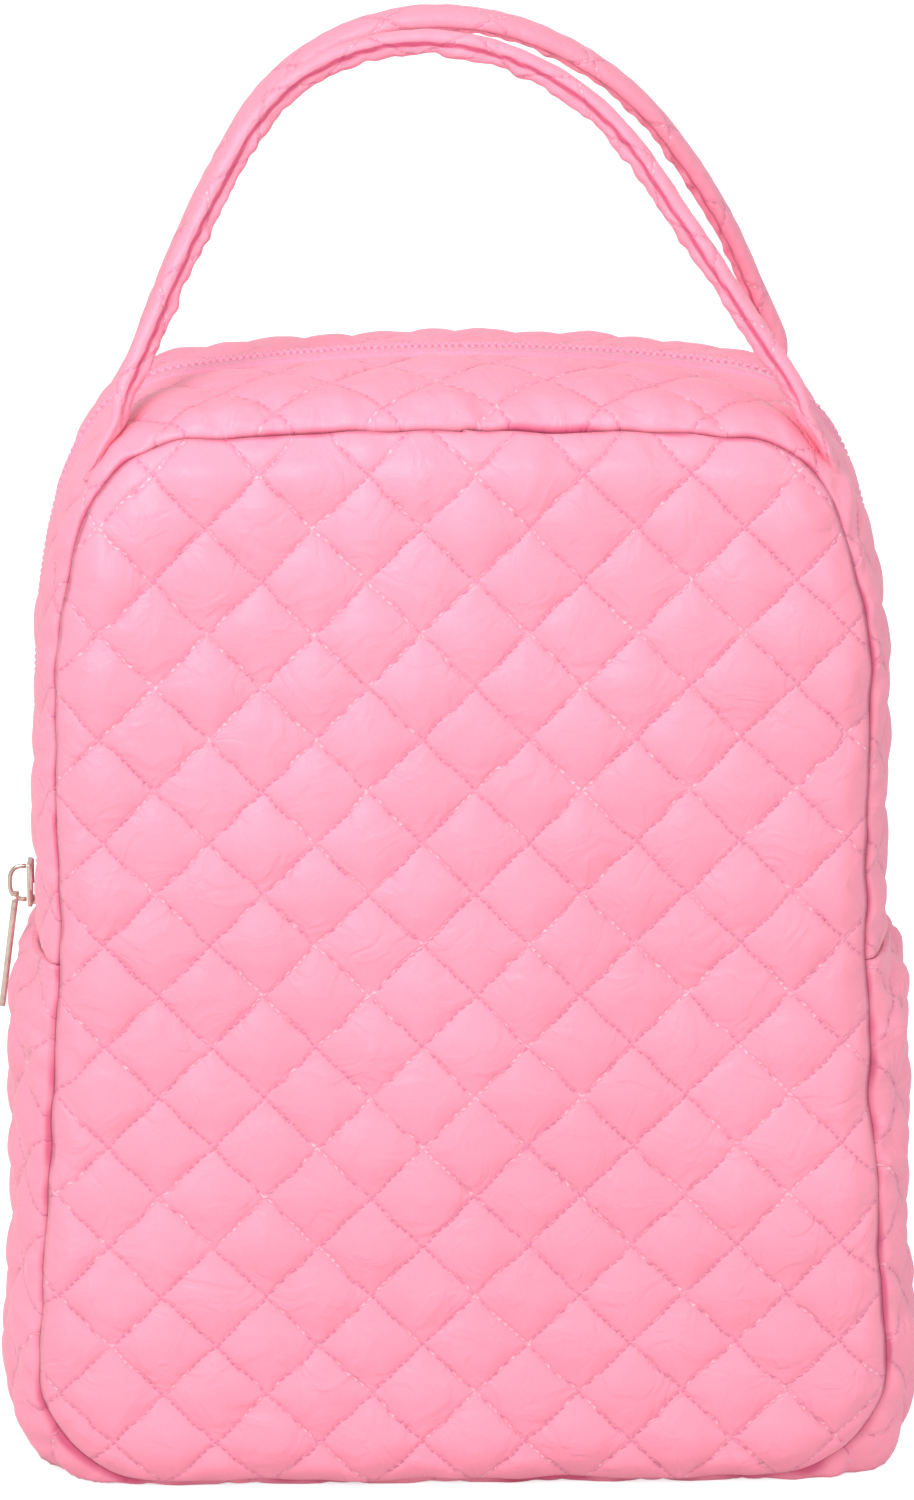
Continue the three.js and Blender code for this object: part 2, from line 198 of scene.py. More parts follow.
def slump(t):
    """How the bag's roof stands up in the middle and gives way at the shoulders, t mm along the outline."""
    q = SEAM_LENGTH - np.abs(t)
    return 3.2 * bump(q, 72) - 3.4 * bump(q - 100, 34) - 0.6 * smooth(110, 150, q)


def pushed(points, height):
    """A grid of points moved by height along the surface's own direction."""
    along, over = np.gradient(points, axis=0), np.gradient(points, axis=1)
    out = np.cross(along, over)
    out /= np.maximum(np.linalg.norm(out, axis=2), 1e-9)[..., None]
    if ((points - BAG_MIDDLE) * out).sum() < 0:
        out = -out
    return points + out * height[..., None]


# ---- Meshes --------------------------------------------------------------------------------------
def sewn_grid(name, points, cloth, seam=None, closed=False, thick=0.0):
    """A piece of cloth: a grid moved to points, with the cloth's own coordinates as its UV map, all in mm.
    seam is how strongly the shade of a seam shows at each point, closed joins the first and last rows into
    a tube and caps its open ends, and thick is the wall that the cloth gets on its inner side."""
    rows, columns = points.shape[:2]
    bm = bmesh.new()
    bmesh.ops.create_grid(bm, x_segments=rows - 1, y_segments=columns - 1, size=1)
    mesh = bpy.data.meshes.new(name)
    bm.to_mesh(mesh)
    bm.free()
    flat = np.empty(len(mesh.vertices) * 3)
    mesh.vertices.foreach_get("co", flat)
    flat = flat.reshape(-1, 3)
    i = np.rint((flat[:, 0] + 1) / 2 * (rows - 1)).astype(int)
    j = np.rint((flat[:, 1] + 1) / 2 * (columns - 1)).astype(int)
    mesh.vertices.foreach_set("co", (points[i, j] * MM).ravel())
    corners = np.empty(len(mesh.loops), np.int32)
    mesh.loops.foreach_get("vertex_index", corners)
    layer = mesh.uv_layers.new(name="cloth")
    layer.data.foreach_set("uv", cloth[i, j][corners].ravel())
    if seam is not None:
        shade = mesh.attributes.new("seam", "FLOAT", "POINT")
        shade.data.foreach_set("value", seam[i, j].astype(np.float32))
    bm = bmesh.new()
    bm.from_mesh(mesh)
    if closed:
        bmesh.ops.remove_doubles(bm, verts=bm.verts[:], dist=1e-6)
        open_edges = [e for e in bm.edges if e.is_boundary]
        if open_edges:
            bmesh.ops.holes_fill(bm, edges=open_edges)
        bmesh.ops.recalc_face_normals(bm, faces=bm.faces[:])
    else:
        middle = Vector(BAG_MIDDLE * MM)
        if sum((f.calc_center_median() - middle).dot(f.normal) for f in bm.faces) < 0:
            bmesh.ops.reverse_faces(bm, faces=bm.faces[:])
    for face in bm.faces:
        face.smooth = True
    bm.to_mesh(mesh)
    bm.free()
    piece = bpy.data.objects.new(name, mesh)
    bpy.context.scene.collection.objects.link(piece)
    if thick:
        wall = piece.modifiers.new("wall", "SOLIDIFY")
        wall.thickness = thick * MM
        wall.offset = -1
    return piece


def tube(name, line, across, half_out, half_side, turns, bend=None, closed_path=False):
    """A rounded strip along a line, with across as its side direction and turns points round its section.
    bend is given the section's offsets out and sideways and how far along they lie, and returns the two
    reshaped, with how strongly the painted shade of a seam shows."""
    if closed_path:
        tangent = np.roll(line, -1, 0) - np.roll(line, 1, 0)
    else:
        tangent = np.gradient(line, axis=0)
    tangent /= np.linalg.norm(tangent, axis=1)[:, None]
    side = across - (across * tangent).sum(1)[:, None] * tangent
    side /= np.linalg.norm(side, axis=1)[:, None]
    out = np.cross(side, tangent)
    angle = np.linspace(0, 2 * math.pi, turns + 1) + math.pi
    squared = 0.75
    o = np.sign(np.cos(angle)) * np.abs(np.cos(angle)) ** squared
    w = np.sign(np.sin(angle)) * np.abs(np.sin(angle)) ** squared
    o, w = o[:, None] * half_out[None], w[:, None] * half_side[None]
    steps = run_along(line)
    seam_shade_mark = None
    if bend is not None:
        o, w, seam_shade_mark = bend(o, w, steps[None])
    points = line[None] + o[..., None] * out[None] + w[..., None] * side[None]
    if closed_path:
        points = np.concatenate([points, points[:, :1]], 1)
        steps = np.r_[steps, steps[-1] + np.linalg.norm(line[0] - line[-1])]
    girth = np.linalg.norm(np.diff(points, axis=0), axis=2).max(1)
    girth = np.r_[0, np.cumsum(girth)]
    cloth = np.stack(np.broadcast_arrays(girth[:, None], steps[None]), 2)
    return sewn_grid(name, points, cloth, seam=seam_shade_mark, closed=True)


def finished(piece, material, *nodes, body="body", slot="quilted_nylon"):
    """Gives a piece its material, the CAD nodes that it stands for and the body that it rides on. slot is
    not used.
    A piece of the flap has its place baked into its mesh and rides on no body. With body None it is given
    none here."""
    piece.data.materials.clear()
    piece.data.materials.append(material)
    if nodes:
        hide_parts(*nodes)
    if body == "flap":
        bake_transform(piece)
    elif body:
        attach(piece, body)
    return piece


# ---- Material groups -----------------------------------------------------------------------------
class Nodes:
    """Adds and links the nodes of one tree."""

    def __init__(self, tree):
        self.tree = tree

    def add(self, kind, settings=None, **values):
        node = self.tree.nodes.new(kind)
        for name, value in (settings or {}).items():
            setattr(node, name, value)
        for name, value in values.items():
            self.put(node.inputs[name.replace("_", " ")], value)
        return node

    def put(self, socket, value):
        if isinstance(value, bpy.types.NodeSocket):
            self.tree.links.new(value, socket)
        else:
            socket.default_value = value

    def math(self, operation, *values, clamp=False):
        node = self.add("ShaderNodeMath", {"operation": operation, "use_clamp": clamp})
        for socket, value in zip(node.inputs, values):
            self.put(socket, value)
        return node.outputs[0]

    def rise(self, value, low, high, to_low=0.0, to_high=1.0):
        node = self.add("ShaderNodeMapRange", {"interpolation_type": "SMOOTHSTEP"})
        names = ("Value", "From Min", "From Max", "To Min", "To Max")
        for name, number in zip(names, (value, low, high, to_low, to_high)):
            self.put(node.inputs[name], number)
        return node.outputs[0]

    def mix(self, share, first, second, blend="MIX"):
        node = self.add("ShaderNodeMix", {"data_type": "RGBA", "blend_type": blend})
        for socket, value in zip((node.inputs[0], node.inputs[6], node.inputs[7]), (share, first, second)):
            self.put(socket, value)
        return node.outputs[2]

    def group(self, tree, **values):
        node = self.tree.nodes.new("ShaderNodeGroup")
        node.node_tree = tree
        for name, value in values.items():
            self.put(node.inputs[name.replace("_", " ")], value)
        return node


def effect(name, inputs, outputs):
    """An empty shader node group with its sockets, and its input and output nodes."""
    tree = bpy.data.node_groups.new(name, "ShaderNodeTree")
    for kind, label, value in inputs:
        socket = tree.interface.new_socket(label, in_out="INPUT", socket_type=kind)
        if value is not None:
            socket.default_value = value
    for label in outputs:
        tree.interface.new_socket(label, in_out="OUTPUT", socket_type="NodeSocketFloat")
    n = Nodes(tree)
    return n, n.add("NodeGroupInput").outputs, n.add("NodeGroupOutput").inputs


VECTOR, FLOAT = "NodeSocketVector", "NodeSocketFloat"
FLAT_NOISE = {"noise_dimensions": "2D"}


def weave_effect():
    """Fine crossing threads: how high each stands, and how its tone varies."""
    inputs = [(VECTOR, "Cloth", None), (FLOAT, "Pitch", 0.4)]
    n, given, out = effect("thread_weave", inputs, ["Height", "Tone"])
    parts = n.add("ShaderNodeSeparateXYZ", Vector=given["Cloth"]).outputs
    waves = []
    for part in (parts[0], parts[1]):
        turn = n.math("MULTIPLY", n.math("DIVIDE", part, given["Pitch"]), 2 * math.pi)
        waves.append(n.math("SINE", turn))
    n.put(out["Height"], n.math("MULTIPLY", n.math("ADD", *waves), 0.5))
    slub = n.add("ShaderNodeTexNoise", FLAT_NOISE, Vector=given["Cloth"], Scale=0.9, Detail=2.0)
    n.put(out["Tone"], n.rise(slub.outputs[0], 0.3, 0.7))
    return n.tree


def quilting_effect():
    """Rows of stitches that cross on the diagonal: the thread, a random lightness that picks painted lit or
    shaded stitches, and the crease it pulls in.
    """
    inputs = [(VECTOR, "Cloth", None), (FLOAT, "Pitch", 25.0)]
    inputs += [(FLOAT, "Stitch", 1.9), (FLOAT, "Thread", 0.42)]
    n, given, out = effect("quilting_stitches", inputs, ["Thread", "Light", "Crease"])
    diagonal = 1 / math.sqrt(2)
    parts = n.add("ShaderNodeSeparateXYZ", Vector=given["Cloth"]).outputs
    waver = n.add("ShaderNodeTexNoise", FLAT_NOISE, Vector=given["Cloth"], Scale=0.14, Detail=2.0)
    parts = (n.math("ADD", parts[0], n.rise(waver.outputs[0], 0.2, 0.8, -0.55, 0.55)), parts[1])
    threads, lights, creases = [], [], []
    for first, second, seed in (("ADD", "SUBTRACT", 0.0), ("SUBTRACT", "ADD", 41.0)):
        across = n.math("DIVIDE", n.math(first, parts[0], parts[1]), given["Pitch"])
        row = n.math("ROUND", across)
        apart = n.math("MULTIPLY", n.math("ABSOLUTE", n.math("SUBTRACT", across, row)), given["Pitch"])
        apart = n.math("MULTIPLY", apart, diagonal)
        run = n.math("MULTIPLY", n.math(second, parts[0], parts[1]), diagonal)
        run = n.math("DIVIDE", run, given["Stitch"])
        run = n.math("ADD", run, n.math("MULTIPLY", row, 0.37))
        middle = n.math("ABSOLUTE", n.math("SUBTRACT", n.math("FRACT", run), 0.5))
        slant = n.math("MULTIPLY", n.math("SUBTRACT", n.math("FRACT", run), 0.5), 0.5)
        near = n.math("ABSOLUTE", n.math("SUBTRACT", apart, slant))
        half = n.math("MULTIPLY", given["Thread"], 0.5)
        body = n.rise(near, n.math("MULTIPLY", half, 1.5), n.math("MULTIPLY", half, 0.6))
        threads.append(n.math("MULTIPLY", body, n.rise(middle, 0.37, 0.28)))
        where = n.add("ShaderNodeCombineXYZ", X=n.math("FLOOR", run), Y=n.math("ADD", row, seed))
        chance = n.add("ShaderNodeTexWhiteNoise", FLAT_NOISE, Vector=where.outputs[0])
        lights.append(chance.outputs[0])
        creases.append(n.rise(apart, 1.1, 0.0))
    n.put(out["Thread"], n.math("MAXIMUM", *threads))
    n.put(out["Light"], n.math("MULTIPLY", n.math("ADD", *lights), 0.5))
    n.put(out["Crease"], n.math("MAXIMUM", *creases))
    return n.tree


def wrinkle_effect():
    """Soft creases of a thin cloth over padding, in mm of height, and the uneven tone of its dye."""
    inputs = [(VECTOR, "Cloth", None), (FLOAT, "Size", 9.0)]
    n, given, out = effect("soft_wrinkles", inputs, ["Height", "Tone"])
    cloth, size = given["Cloth"], n.math("DIVIDE", 1.0, given["Size"])
    broad = n.add("ShaderNodeTexNoise", FLAT_NOISE, Vector=cloth, Scale=size, Detail=3.0, Distortion=0.6)
    ridge = n.math("ABSOLUTE", n.math("SUBTRACT", broad.outputs[0], 0.5))
    n.put(out["Height"], n.math("MULTIPLY", n.rise(ridge, 0.0, 0.2), 0.19))
    wider = n.math("MULTIPLY", size, 0.22)
    wide = n.add("ShaderNodeTexNoise", FLAT_NOISE, Vector=cloth, Scale=wider, Detail=2.0)
    n.put(out["Tone"], n.rise(wide.outputs[0], 0.3, 0.7))
    return n.tree


def edge_wear_effect():
    """Fine scratches and rubbed patches of a plated metal."""
    n, given, out = effect("plated_wear", [(VECTOR, "Place", None)], ["Scratch", "Rubbed"])
    long = n.add("ShaderNodeMapping", Vector=given["Place"], Scale=(2600.0, 2600.0, 260.0))
    lines = n.add("ShaderNodeTexNoise", Vector=long.outputs[0], Scale=1.0, Detail=3.0)
    n.put(out["Scratch"], n.rise(lines.outputs[0], 0.42, 0.62))
    spots = n.add("ShaderNodeTexNoise", Vector=given["Place"], Scale=420.0, Detail=4.0)
    n.put(out["Rubbed"], n.rise(spots.outputs[0], 0.5, 0.68))
    return n.tree


def new_material(name, metallic=0.0, roughness=0.45, sheen=0.0, specular=0.4):
    """A material with its plain values set, the nodes of its tree and the sockets of its shader."""
    material = bpy.data.materials.new(name)
    material.use_nodes = True
    shader = material.node_tree.nodes["Principled BSDF"]
    shader.inputs["Metallic"].default_value = metallic
    shader.inputs["Roughness"].default_value = roughness
    shader.inputs["Specular IOR Level"].default_value = specular
    shader.inputs["Sheen Weight"].default_value = sheen
    shader.inputs["Sheen Roughness"].default_value = 0.35
    shader.inputs["Sheen Tint"].default_value = (1.0, 0.86, 0.92, 1.0)
    return material, Nodes(material.node_tree), shader.inputs


def cloth_place(n):
    """Where a point lies on its flat cloth, in mm."""
    return n.add("ShaderNodeUVMap", {"uv_map": "cloth"}).outputs[0]


def bumped(n, height):
    """The normal of a surface raised by height, in mm."""
    return n.add("ShaderNodeBump", Strength=1.0, Distance=MM, Height=height).outputs[0]


def tinted(colour, value=1.0):
    """A colour with an alpha of 1, made lighter or darker by a factor."""
    return tuple(min(1.0, c * value) for c in colour[:3]) + (1.0,)


def quilted_material(look, groups):
    """Padded nylon: stitched creases with painted shade, soft folds, thread painted lit or shaded stitch by
    stitch, and painted shade with darker stretched cloth down the seams.
    """
    material, n, shader = new_material("puffed_nylon", roughness=0.46, sheen=0.25, specular=0.45)
    cloth = cloth_place(n)
    weave = n.group(groups["weave"], Cloth=cloth, Pitch=0.42).outputs
    pitch, stitch = look.quilt_pitch / MM, look.stitch_length / MM
    quilt = n.group(groups["quilting"], Cloth=cloth, Pitch=pitch, Stitch=stitch).outputs
    folds = n.group(groups["wrinkles"], Cloth=cloth, Size=11.0).outputs
    seam = n.add("ShaderNodeAttribute", {"attribute_name": "seam"}).outputs["Fac"]
    colour = n.mix(folds["Tone"], tinted(look.fabric_colour, 0.97), tinted(look.fabric_colour, 1.03))
    colour = n.mix(n.math("MULTIPLY", weave["Tone"], 0.06), colour, tinted(look.slub_and_crease_shade_colour))
    # Painted shade: the stitched creases are mixed towards the darker fabric colour, where shade falls into
    # them.
    colour = n.mix(n.math("MULTIPLY", quilt["Crease"], 0.10), colour, tinted(look.slub_and_crease_shade_colour))
    # Painted light on the thread: each stitch is painted either shaded or highlighted, picked at random.
    light = n.mix(n.rise(quilt["Light"], 0.52, 0.78), tinted(look.shaded_thread), tinted(look.thread_highlight_colour))
    colour = n.mix(n.math("MULTIPLY", quilt["Thread"], 0.75), colour, light)
    # Painted shade down in the seams, with the darker stretched cloth along them, mixed in by the seam mask.
    colour = n.mix(n.rise(seam, 0.35, 1.0, 0.0, 0.8), colour, tinted(look.seam_shade_colour))
    n.put(shader["Base Color"], colour)
    n.put(shader["Roughness"], n.math("ADD", 0.44, n.math("MULTIPLY", weave["Tone"], 0.08)))
    height = n.math("MULTIPLY", quilt["Thread"], 0.16)
    height = n.math("SUBTRACT", height, n.math("MULTIPLY", quilt["Crease"], 0.24))
    height = n.math("ADD", height, folds["Height"])
    height = n.math("ADD", height, n.math("MULTIPLY", weave["Height"], 0.012))
    n.put(shader["Normal"], bumped(n, height))
    return material


def plain_cloth_material(name, colour, groups, pitch, ribs=0.0, roughness=0.6, relief=0.02):
    """A woven cloth without quilting: the lining, the binding and the zip's tape."""
    material, n, shader = new_material(name, roughness=roughness, sheen=0.3, specular=0.3)
    cloth = cloth_place(n)
    weave = n.group(groups["weave"], Cloth=cloth, Pitch=pitch).outputs
    folds = n.group(groups["wrinkles"], Cloth=cloth, Size=18.0).outputs
    shade = n.mix(folds["Tone"], tinted(colour, 0.94), tinted(colour, 1.06))
    shade = n.mix(n.math("MULTIPLY", weave["Tone"], 0.2), shade, tinted(colour, 0.8))
    height = n.math("ADD", n.math("MULTIPLY", weave["Height"], relief), folds["Height"])
    if ribs:
        across = n.add("ShaderNodeSeparateXYZ", Vector=cloth).outputs[1]
        rib = n.math("SINE", n.math("MULTIPLY", across, 2 * math.pi / ribs))
        height = n.math("ADD", height, n.math("MULTIPLY", rib, 0.06))
        # Painted shade in the hollows between the tape's ribs.
        shade = n.mix(n.rise(rib, 0.2, -1.0, 0.0, 0.35), shade, tinted(colour, 0.72))
    n.put(shader["Base Color"], shade)
    n.put(shader["Roughness"], n.math("ADD", roughness - 0.04, n.math("MULTIPLY", weave["Tone"], 0.1)))
    n.put(shader["Normal"], bumped(n, height))
    return material


def coil_material(look, groups):
    """The smooth nylon of the zip's coil, a little rubbed."""
    material, n, shader = new_material("zip_coil_nylon", roughness=0.35, specular=0.5)
    place = n.add("ShaderNodeTexCoord").outputs["Object"]
    wear = n.group(groups["wear"], Place=place).outputs
    colour = n.mix(wear["Rubbed"], tinted(look.zip_colour), tinted(look.zip_colour, 1.08))
    n.put(shader["Base Color"], colour)
    n.put(shader["Roughness"], n.rise(wear["Scratch"], 0.0, 1.0, 0.32, 0.42))
    return material


def metal_material(look, groups):
    """Pale plating, rubbed darker in patches and finely scratched."""
    material, n, shader = new_material("pale_plated_metal", metallic=1.0, roughness=0.22)
    place = n.add("ShaderNodeTexCoord").outputs["Object"]
    wear = n.group(groups["wear"], Place=place).outputs
    rubbed = n.math("MULTIPLY", wear["Rubbed"], 0.35)
    n.put(shader["Base Color"], n.mix(rubbed, tinted(look.metal_colour), (0.30, 0.19, 0.13, 1.0)))
    n.put(shader["Roughness"], n.rise(wear["Scratch"], 0.0, 1.0, 0.16, 0.30))
    n.put(shader["Normal"], bumped(n, n.math("MULTIPLY", wear["Scratch"], 0.006)))
    return material


def floor_material():
    """A pale floor that is almost white to the camera and softer to the light that it throws back."""
    material, n, shader = new_material("pale_floor", roughness=0.75, specular=0.2)
    place = n.add("ShaderNodeTexCoord").outputs["Object"]
    grain = n.add("ShaderNodeTexNoise", Vector=place, Scale=180.0, Detail=3.0)
    seen = n.add("ShaderNodeLightPath").outputs["Is Camera Ray"]
    n.put(shader["Emission Strength"], n.math("MULTIPLY", seen, 0.7))
    shader["Emission Color"].default_value = (1.0, 1.0, 1.0, 1.0)
    n.put(shader["Base Color"], n.mix(grain.outputs[0], (0.74, 0.74, 0.74, 1.0), (0.77, 0.77, 0.77, 1.0)))
    return material


def materials(scene):
    """The bag's materials, made once and then found again by name."""
    if "puffed_nylon" not in bpy.data.materials:
        look = scene.makeup_bag_look
        groups = {
            "weave": weave_effect(),
            "quilting": quilting_effect(),
            "wrinkles": wrinkle_effect(),
            "wear": edge_wear_effect(),
        }
        quilted_material(look, groups)
        plain_cloth_material("lining_cloth", look.lining_colour, groups, 0.6)
        plain_cloth_material("binding_weave", look.lining_colour, groups, 0.5, relief=0.05)
        plain_cloth_material("zip_tape_cloth", look.zip_colour, groups, 0.55, ribs=1.05, relief=0.04)
        coil_material(look, groups)
        metal_material(look, groups)
        floor_material()
    return bpy.data.materials


# ---- What a user may change ----------------------------------------------------------------------
def length_setting(name, description, default):
    """A length that a user may change, with its default in mm."""
    return bpy.props.FloatProperty(
        name=name,
        description=description,
        default=default * MM,
        min=0.0,
        subtype="DISTANCE",
        unit="LENGTH",
        precision=4,
    )


def colour_setting(name, description, default):
    """A colour that a user may change."""
    return bpy.props.FloatVectorProperty(
        name=name, description=description, default=default, size=3, min=0.0, max=1.0, subtype="COLOR"
    )


class MakeupBagLook(bpy.types.PropertyGroup):
    """Sizes and colours of the bag's finish."""

    quilt_pitch: length_setting("Quilt pitch", "Width and height of one quilted diamond", 25.0)
    quilt_puff: length_setting("Quilt puff", "How far the padding stands out between its stitches", 2.5)
    stitch_length: length_setting("Stitch length", "From one quilting stitch to the next", 1.9)
    wall: length_setting("Wall", "Thickness of the quilted fabric that is drawn", 2.4)
    fabric_colour: colour_setting("Fabric", "Colour of the quilted nylon", (0.95, 0.315, 0.43))
    # The darker fabric colour: random slubs of the weave, and painted shade in the stitched creases.
    slub_and_crease_shade_colour: colour_setting("Shaded fabric", "Colour in the stitched creases", (0.90, 0.20, 0.32))
    # Painted shade down in the seams, with the darker stretched cloth along them.
    seam_shade_colour: colour_setting("Seam", "Colour down in the seams", (0.62, 0.06, 0.17))
    shaded_thread: colour_setting("Shaded thread", "Colour of thread out of the light", (0.72, 0.20, 0.36))
    # The painted highlight colour of the thread; shaded_thread is its painted shade.
    thread_highlight_colour: colour_setting("Thread", "Colour of the shiny thread", (1.0, 0.56, 0.66))
    lining_colour: colour_setting("Lining", "Colour of the lining and its binding", (0.80, 0.17, 0.27))
    zip_colour: colour_setting("Zip", "Colour of the zip's tape and coil", (0.95, 0.34, 0.49))
    metal_colour: colour_setting("Metal", "Colour of the slider and its pull", (0.70, 0.56, 0.48))


# ---- Panels and gussets --------------------------------------------------------------------------
PANEL_STEP = 1.28
BASE_CORNER_AT, BASE_CORNER_REACH = 91, 15  # where the base gusset swells out, along the outline
BASE_CORNER_RIGHT, BASE_CORNER_LEFT = 8.0, 5.2
BASE_WAIST, BASE_WAIST_AT, BASE_WAIST_REACH = 1.1, 138, 26  # where it draws in again above the corner


def panel_points(inset, step, uneven=0.0):
    """Rows of points that fill the outline, moved in by inset and about step apart: their places over and
    up, and how far each is from the edge and along it. uneven is the share of the sewing's wander."""
    low, high = HALF_BASE - BASE_RADIUS, seam_length_to(SHOULDER[3][1] - 0.01)
    s = np.linspace(low, high, int((high - low) / step))
    x, z, out_x, out_z = on_seam(s)
    x, z = x - inset * out_x, z - inset * out_z
    share = np.linspace(-1, 1, int(2 * HALF_BASE / step))
    over = x[:, None] * share[None]
    inner = 0.7
    right = uneven * sewing_wander(s)[:, None] * smooth(inner, 1, share)[None]
    left = uneven * sewing_wander(-s)[:, None] * smooth(inner, 1, -share)[None]
    over += (right - left) * out_x[:, None]
    lid = (SEAM_TOP - SHOULDER[3][1]) * (1 - np.minimum(np.abs(over) / SHOULDER[3][0], 1) ** 2)
    up = z[:, None] + lid * smooth(high - 30, high, s)[:, None]
    on_top = np.where(over < 0, -1.0, 1.0) * (SEAM_LENGTH - np.abs(over))
    near = 25
    near_top, near_base = smooth(high - near, high, s)[:, None], smooth(low + near, low, s)[:, None]
    up += (right + left) * out_z[:, None] * (1 - near_top) * (1 - near_base)
    up += uneven * (sewing_wander(on_top) * near_top - sewing_wander(over) * near_base)
    half_x, half_z, ox, oz = on_seam(np.arange(-SEAM_LENGTH, SEAM_LENGTH, 1.0), uneven)
    edge = np.stack([half_x - inset * ox, half_z - inset * oz])
    edge_run = np.gradient(edge, axis=1)
    apart, along = np.empty_like(over), np.empty_like(over)
    for row in range(len(s)):
        from_edge = np.stack([over[row][:, None] - edge[0][None], up[row][:, None] - edge[1][None]])
        nearest = np.hypot(*from_edge).argmin(1)
        gap = from_edge[:, np.arange(len(nearest)), nearest]
        between = np.clip((gap * edge_run[:, nearest]).sum(0), -0.5, 0.5)
        apart[row] = np.hypot(*(gap - between * edge_run[:, nearest]))
        along[row] = nearest + between - SEAM_LENGTH
    border = np.zeros_like(over, bool)
    border[[0, -1]] = border[:, [0, -1]] = True
    apart[border] = 0
    return over, up, apart, along


def quilted_panel(name, side, look):
    """The front panel, side -1, or the back one, side 1: a padded face that rolls in to its seam."""
    over, up, apart, along = panel_points(0.0, PANEL_STEP, 1.0)
    rolled = np.sqrt(1 - (1 - np.minimum(apart / PANEL_ROLL, 1)) ** 2)
    out = PANEL_BULGE * rolled + 1.6 * smooth(8, 90, apart)
    out += 0.7 * ripple(over, up, 70, 3 + side) * smooth(4, 30, apart)
    cloth = np.stack([over - 2.7, up - 1.0], 2)
    shape = puffs(cloth[..., 0], cloth[..., 1], look.quilt_pitch / MM)
    puff = look.quilt_puff / MM * shape * smooth(0, 7, apart)
    uneven = 1 + 0.18 * ripple(over, up, 30, 11 + side)
    pucker = 0.55 * ripple(along, 0, 11, 5 + side) * np.exp(-apart / 4.5) * smooth(0, 1.5, apart)
    fine = 0.12 * ripple(over, up, 8, 8 + side)
    out += puff * uneven + pucker + fine * smooth(0, 4, apart)
    points = np.stack([over, side * (SEAM_Y + out), up], 2)
    return sewn_grid(name, points, cloth, seam=uneven_seam(apart, along), thick=look.wall / MM)


def gusset_points(t, depth, height, uneven=0.0):
    """A band round the outline: t along it, depth across the bag and height out of it, all of them grids."""
    x, z, out_x, out_z = on_seam(t, uneven * np.exp(-(EDGE_Y - np.abs(depth)) / 9))
    return np.stack([x + out_x * height, depth, z + out_z * height], 2)


def quilted_base(name, look):
    """The base gusset: up from one zip end, under the bag and up to the other."""
    end = seam_length_to(BASE_TOP)
    t = np.linspace(-end, end, 320)
    depth = EDGE_Y * np.sin(np.linspace(-1, 1, 78) * math.pi / 2)
    t, depth = np.meshgrid(t, depth, indexing="ij")
    to_top, to_seam = end - np.abs(t), EDGE_Y - np.abs(depth)
    corner = bump(np.abs(t) - BASE_CORNER_AT, BASE_CORNER_REACH)
    corner *= np.where(t > 0, BASE_CORNER_RIGHT, BASE_CORNER_LEFT)
    waist = BASE_WAIST * bump(np.abs(t) - BASE_WAIST_AT, BASE_WAIST_REACH)
    height = crown(depth, CROWN_LOWER - 0.5 - 1.8 * smooth(20, 70, to_top) + corner - waist)
    tucked = min(1, CROWN_UPPER / CROWN_LOWER + 0.04)
    height *= 1 - (1 - tucked) * (1 - smooth(0, 6.5, to_top - 0.2 * np.abs(depth)))
    height += 0.6 * ripple(t, depth, 60, 21) * smooth(2, 14, to_seam)
    fold = bump(np.abs(depth) - (7 + 1.15 * to_top), 2.4)
    height -= 1.5 * fold * (1 - smooth(16, 30, to_top)) * smooth(0, 3, to_seam)
    height -= 1.6 * bump(depth, 2.6) * (1 - smooth(2, 20, to_top))
    points = gusset_points(t, depth, height, 1.0)
    cloth = np.stack([t + 4.0, depth * 1.1 + 3.0], 2)
    shape = puffs(cloth[..., 0], cloth[..., 1], look.quilt_pitch / MM)
    fade = smooth(0, 8, to_seam) * smooth(0, 7, to_top)
    puff = look.quilt_puff / MM * (shape - 0.35) * fade * (1 + 0.2 * ripple(t, depth, 30, 22))
    pucker = 0.9 * ripple(t + 0.5 * to_seam, 0, 10, 24) * np.exp(-to_seam / 6) * smooth(0, 1.5, to_seam)
    points = pushed(points, puff + pucker + 0.14 * ripple(t, depth, 8, 25) * fade)
    points[..., 2] = np.maximum(points[..., 2], 0.9 * (1 - shape) ** 2)
    seam = uneven_seam(np.minimum(to_seam / 0.8, 0.7 + to_top / 0.6), t)
    return sewn_grid(name, points, cloth, seam=seam, thick=look.wall / MM)


def strip_length():
    """How far the strips beside the zip reach from the middle of the top."""
    return SEAM_LENGTH - seam_length_to(ZIP_LOW)


def from_top(q):
    """The place along the outline q mm from the middle of the top, negative on the left."""
    return np.where(q < 0, -1.0, 1.0) * (SEAM_LENGTH - np.abs(q))


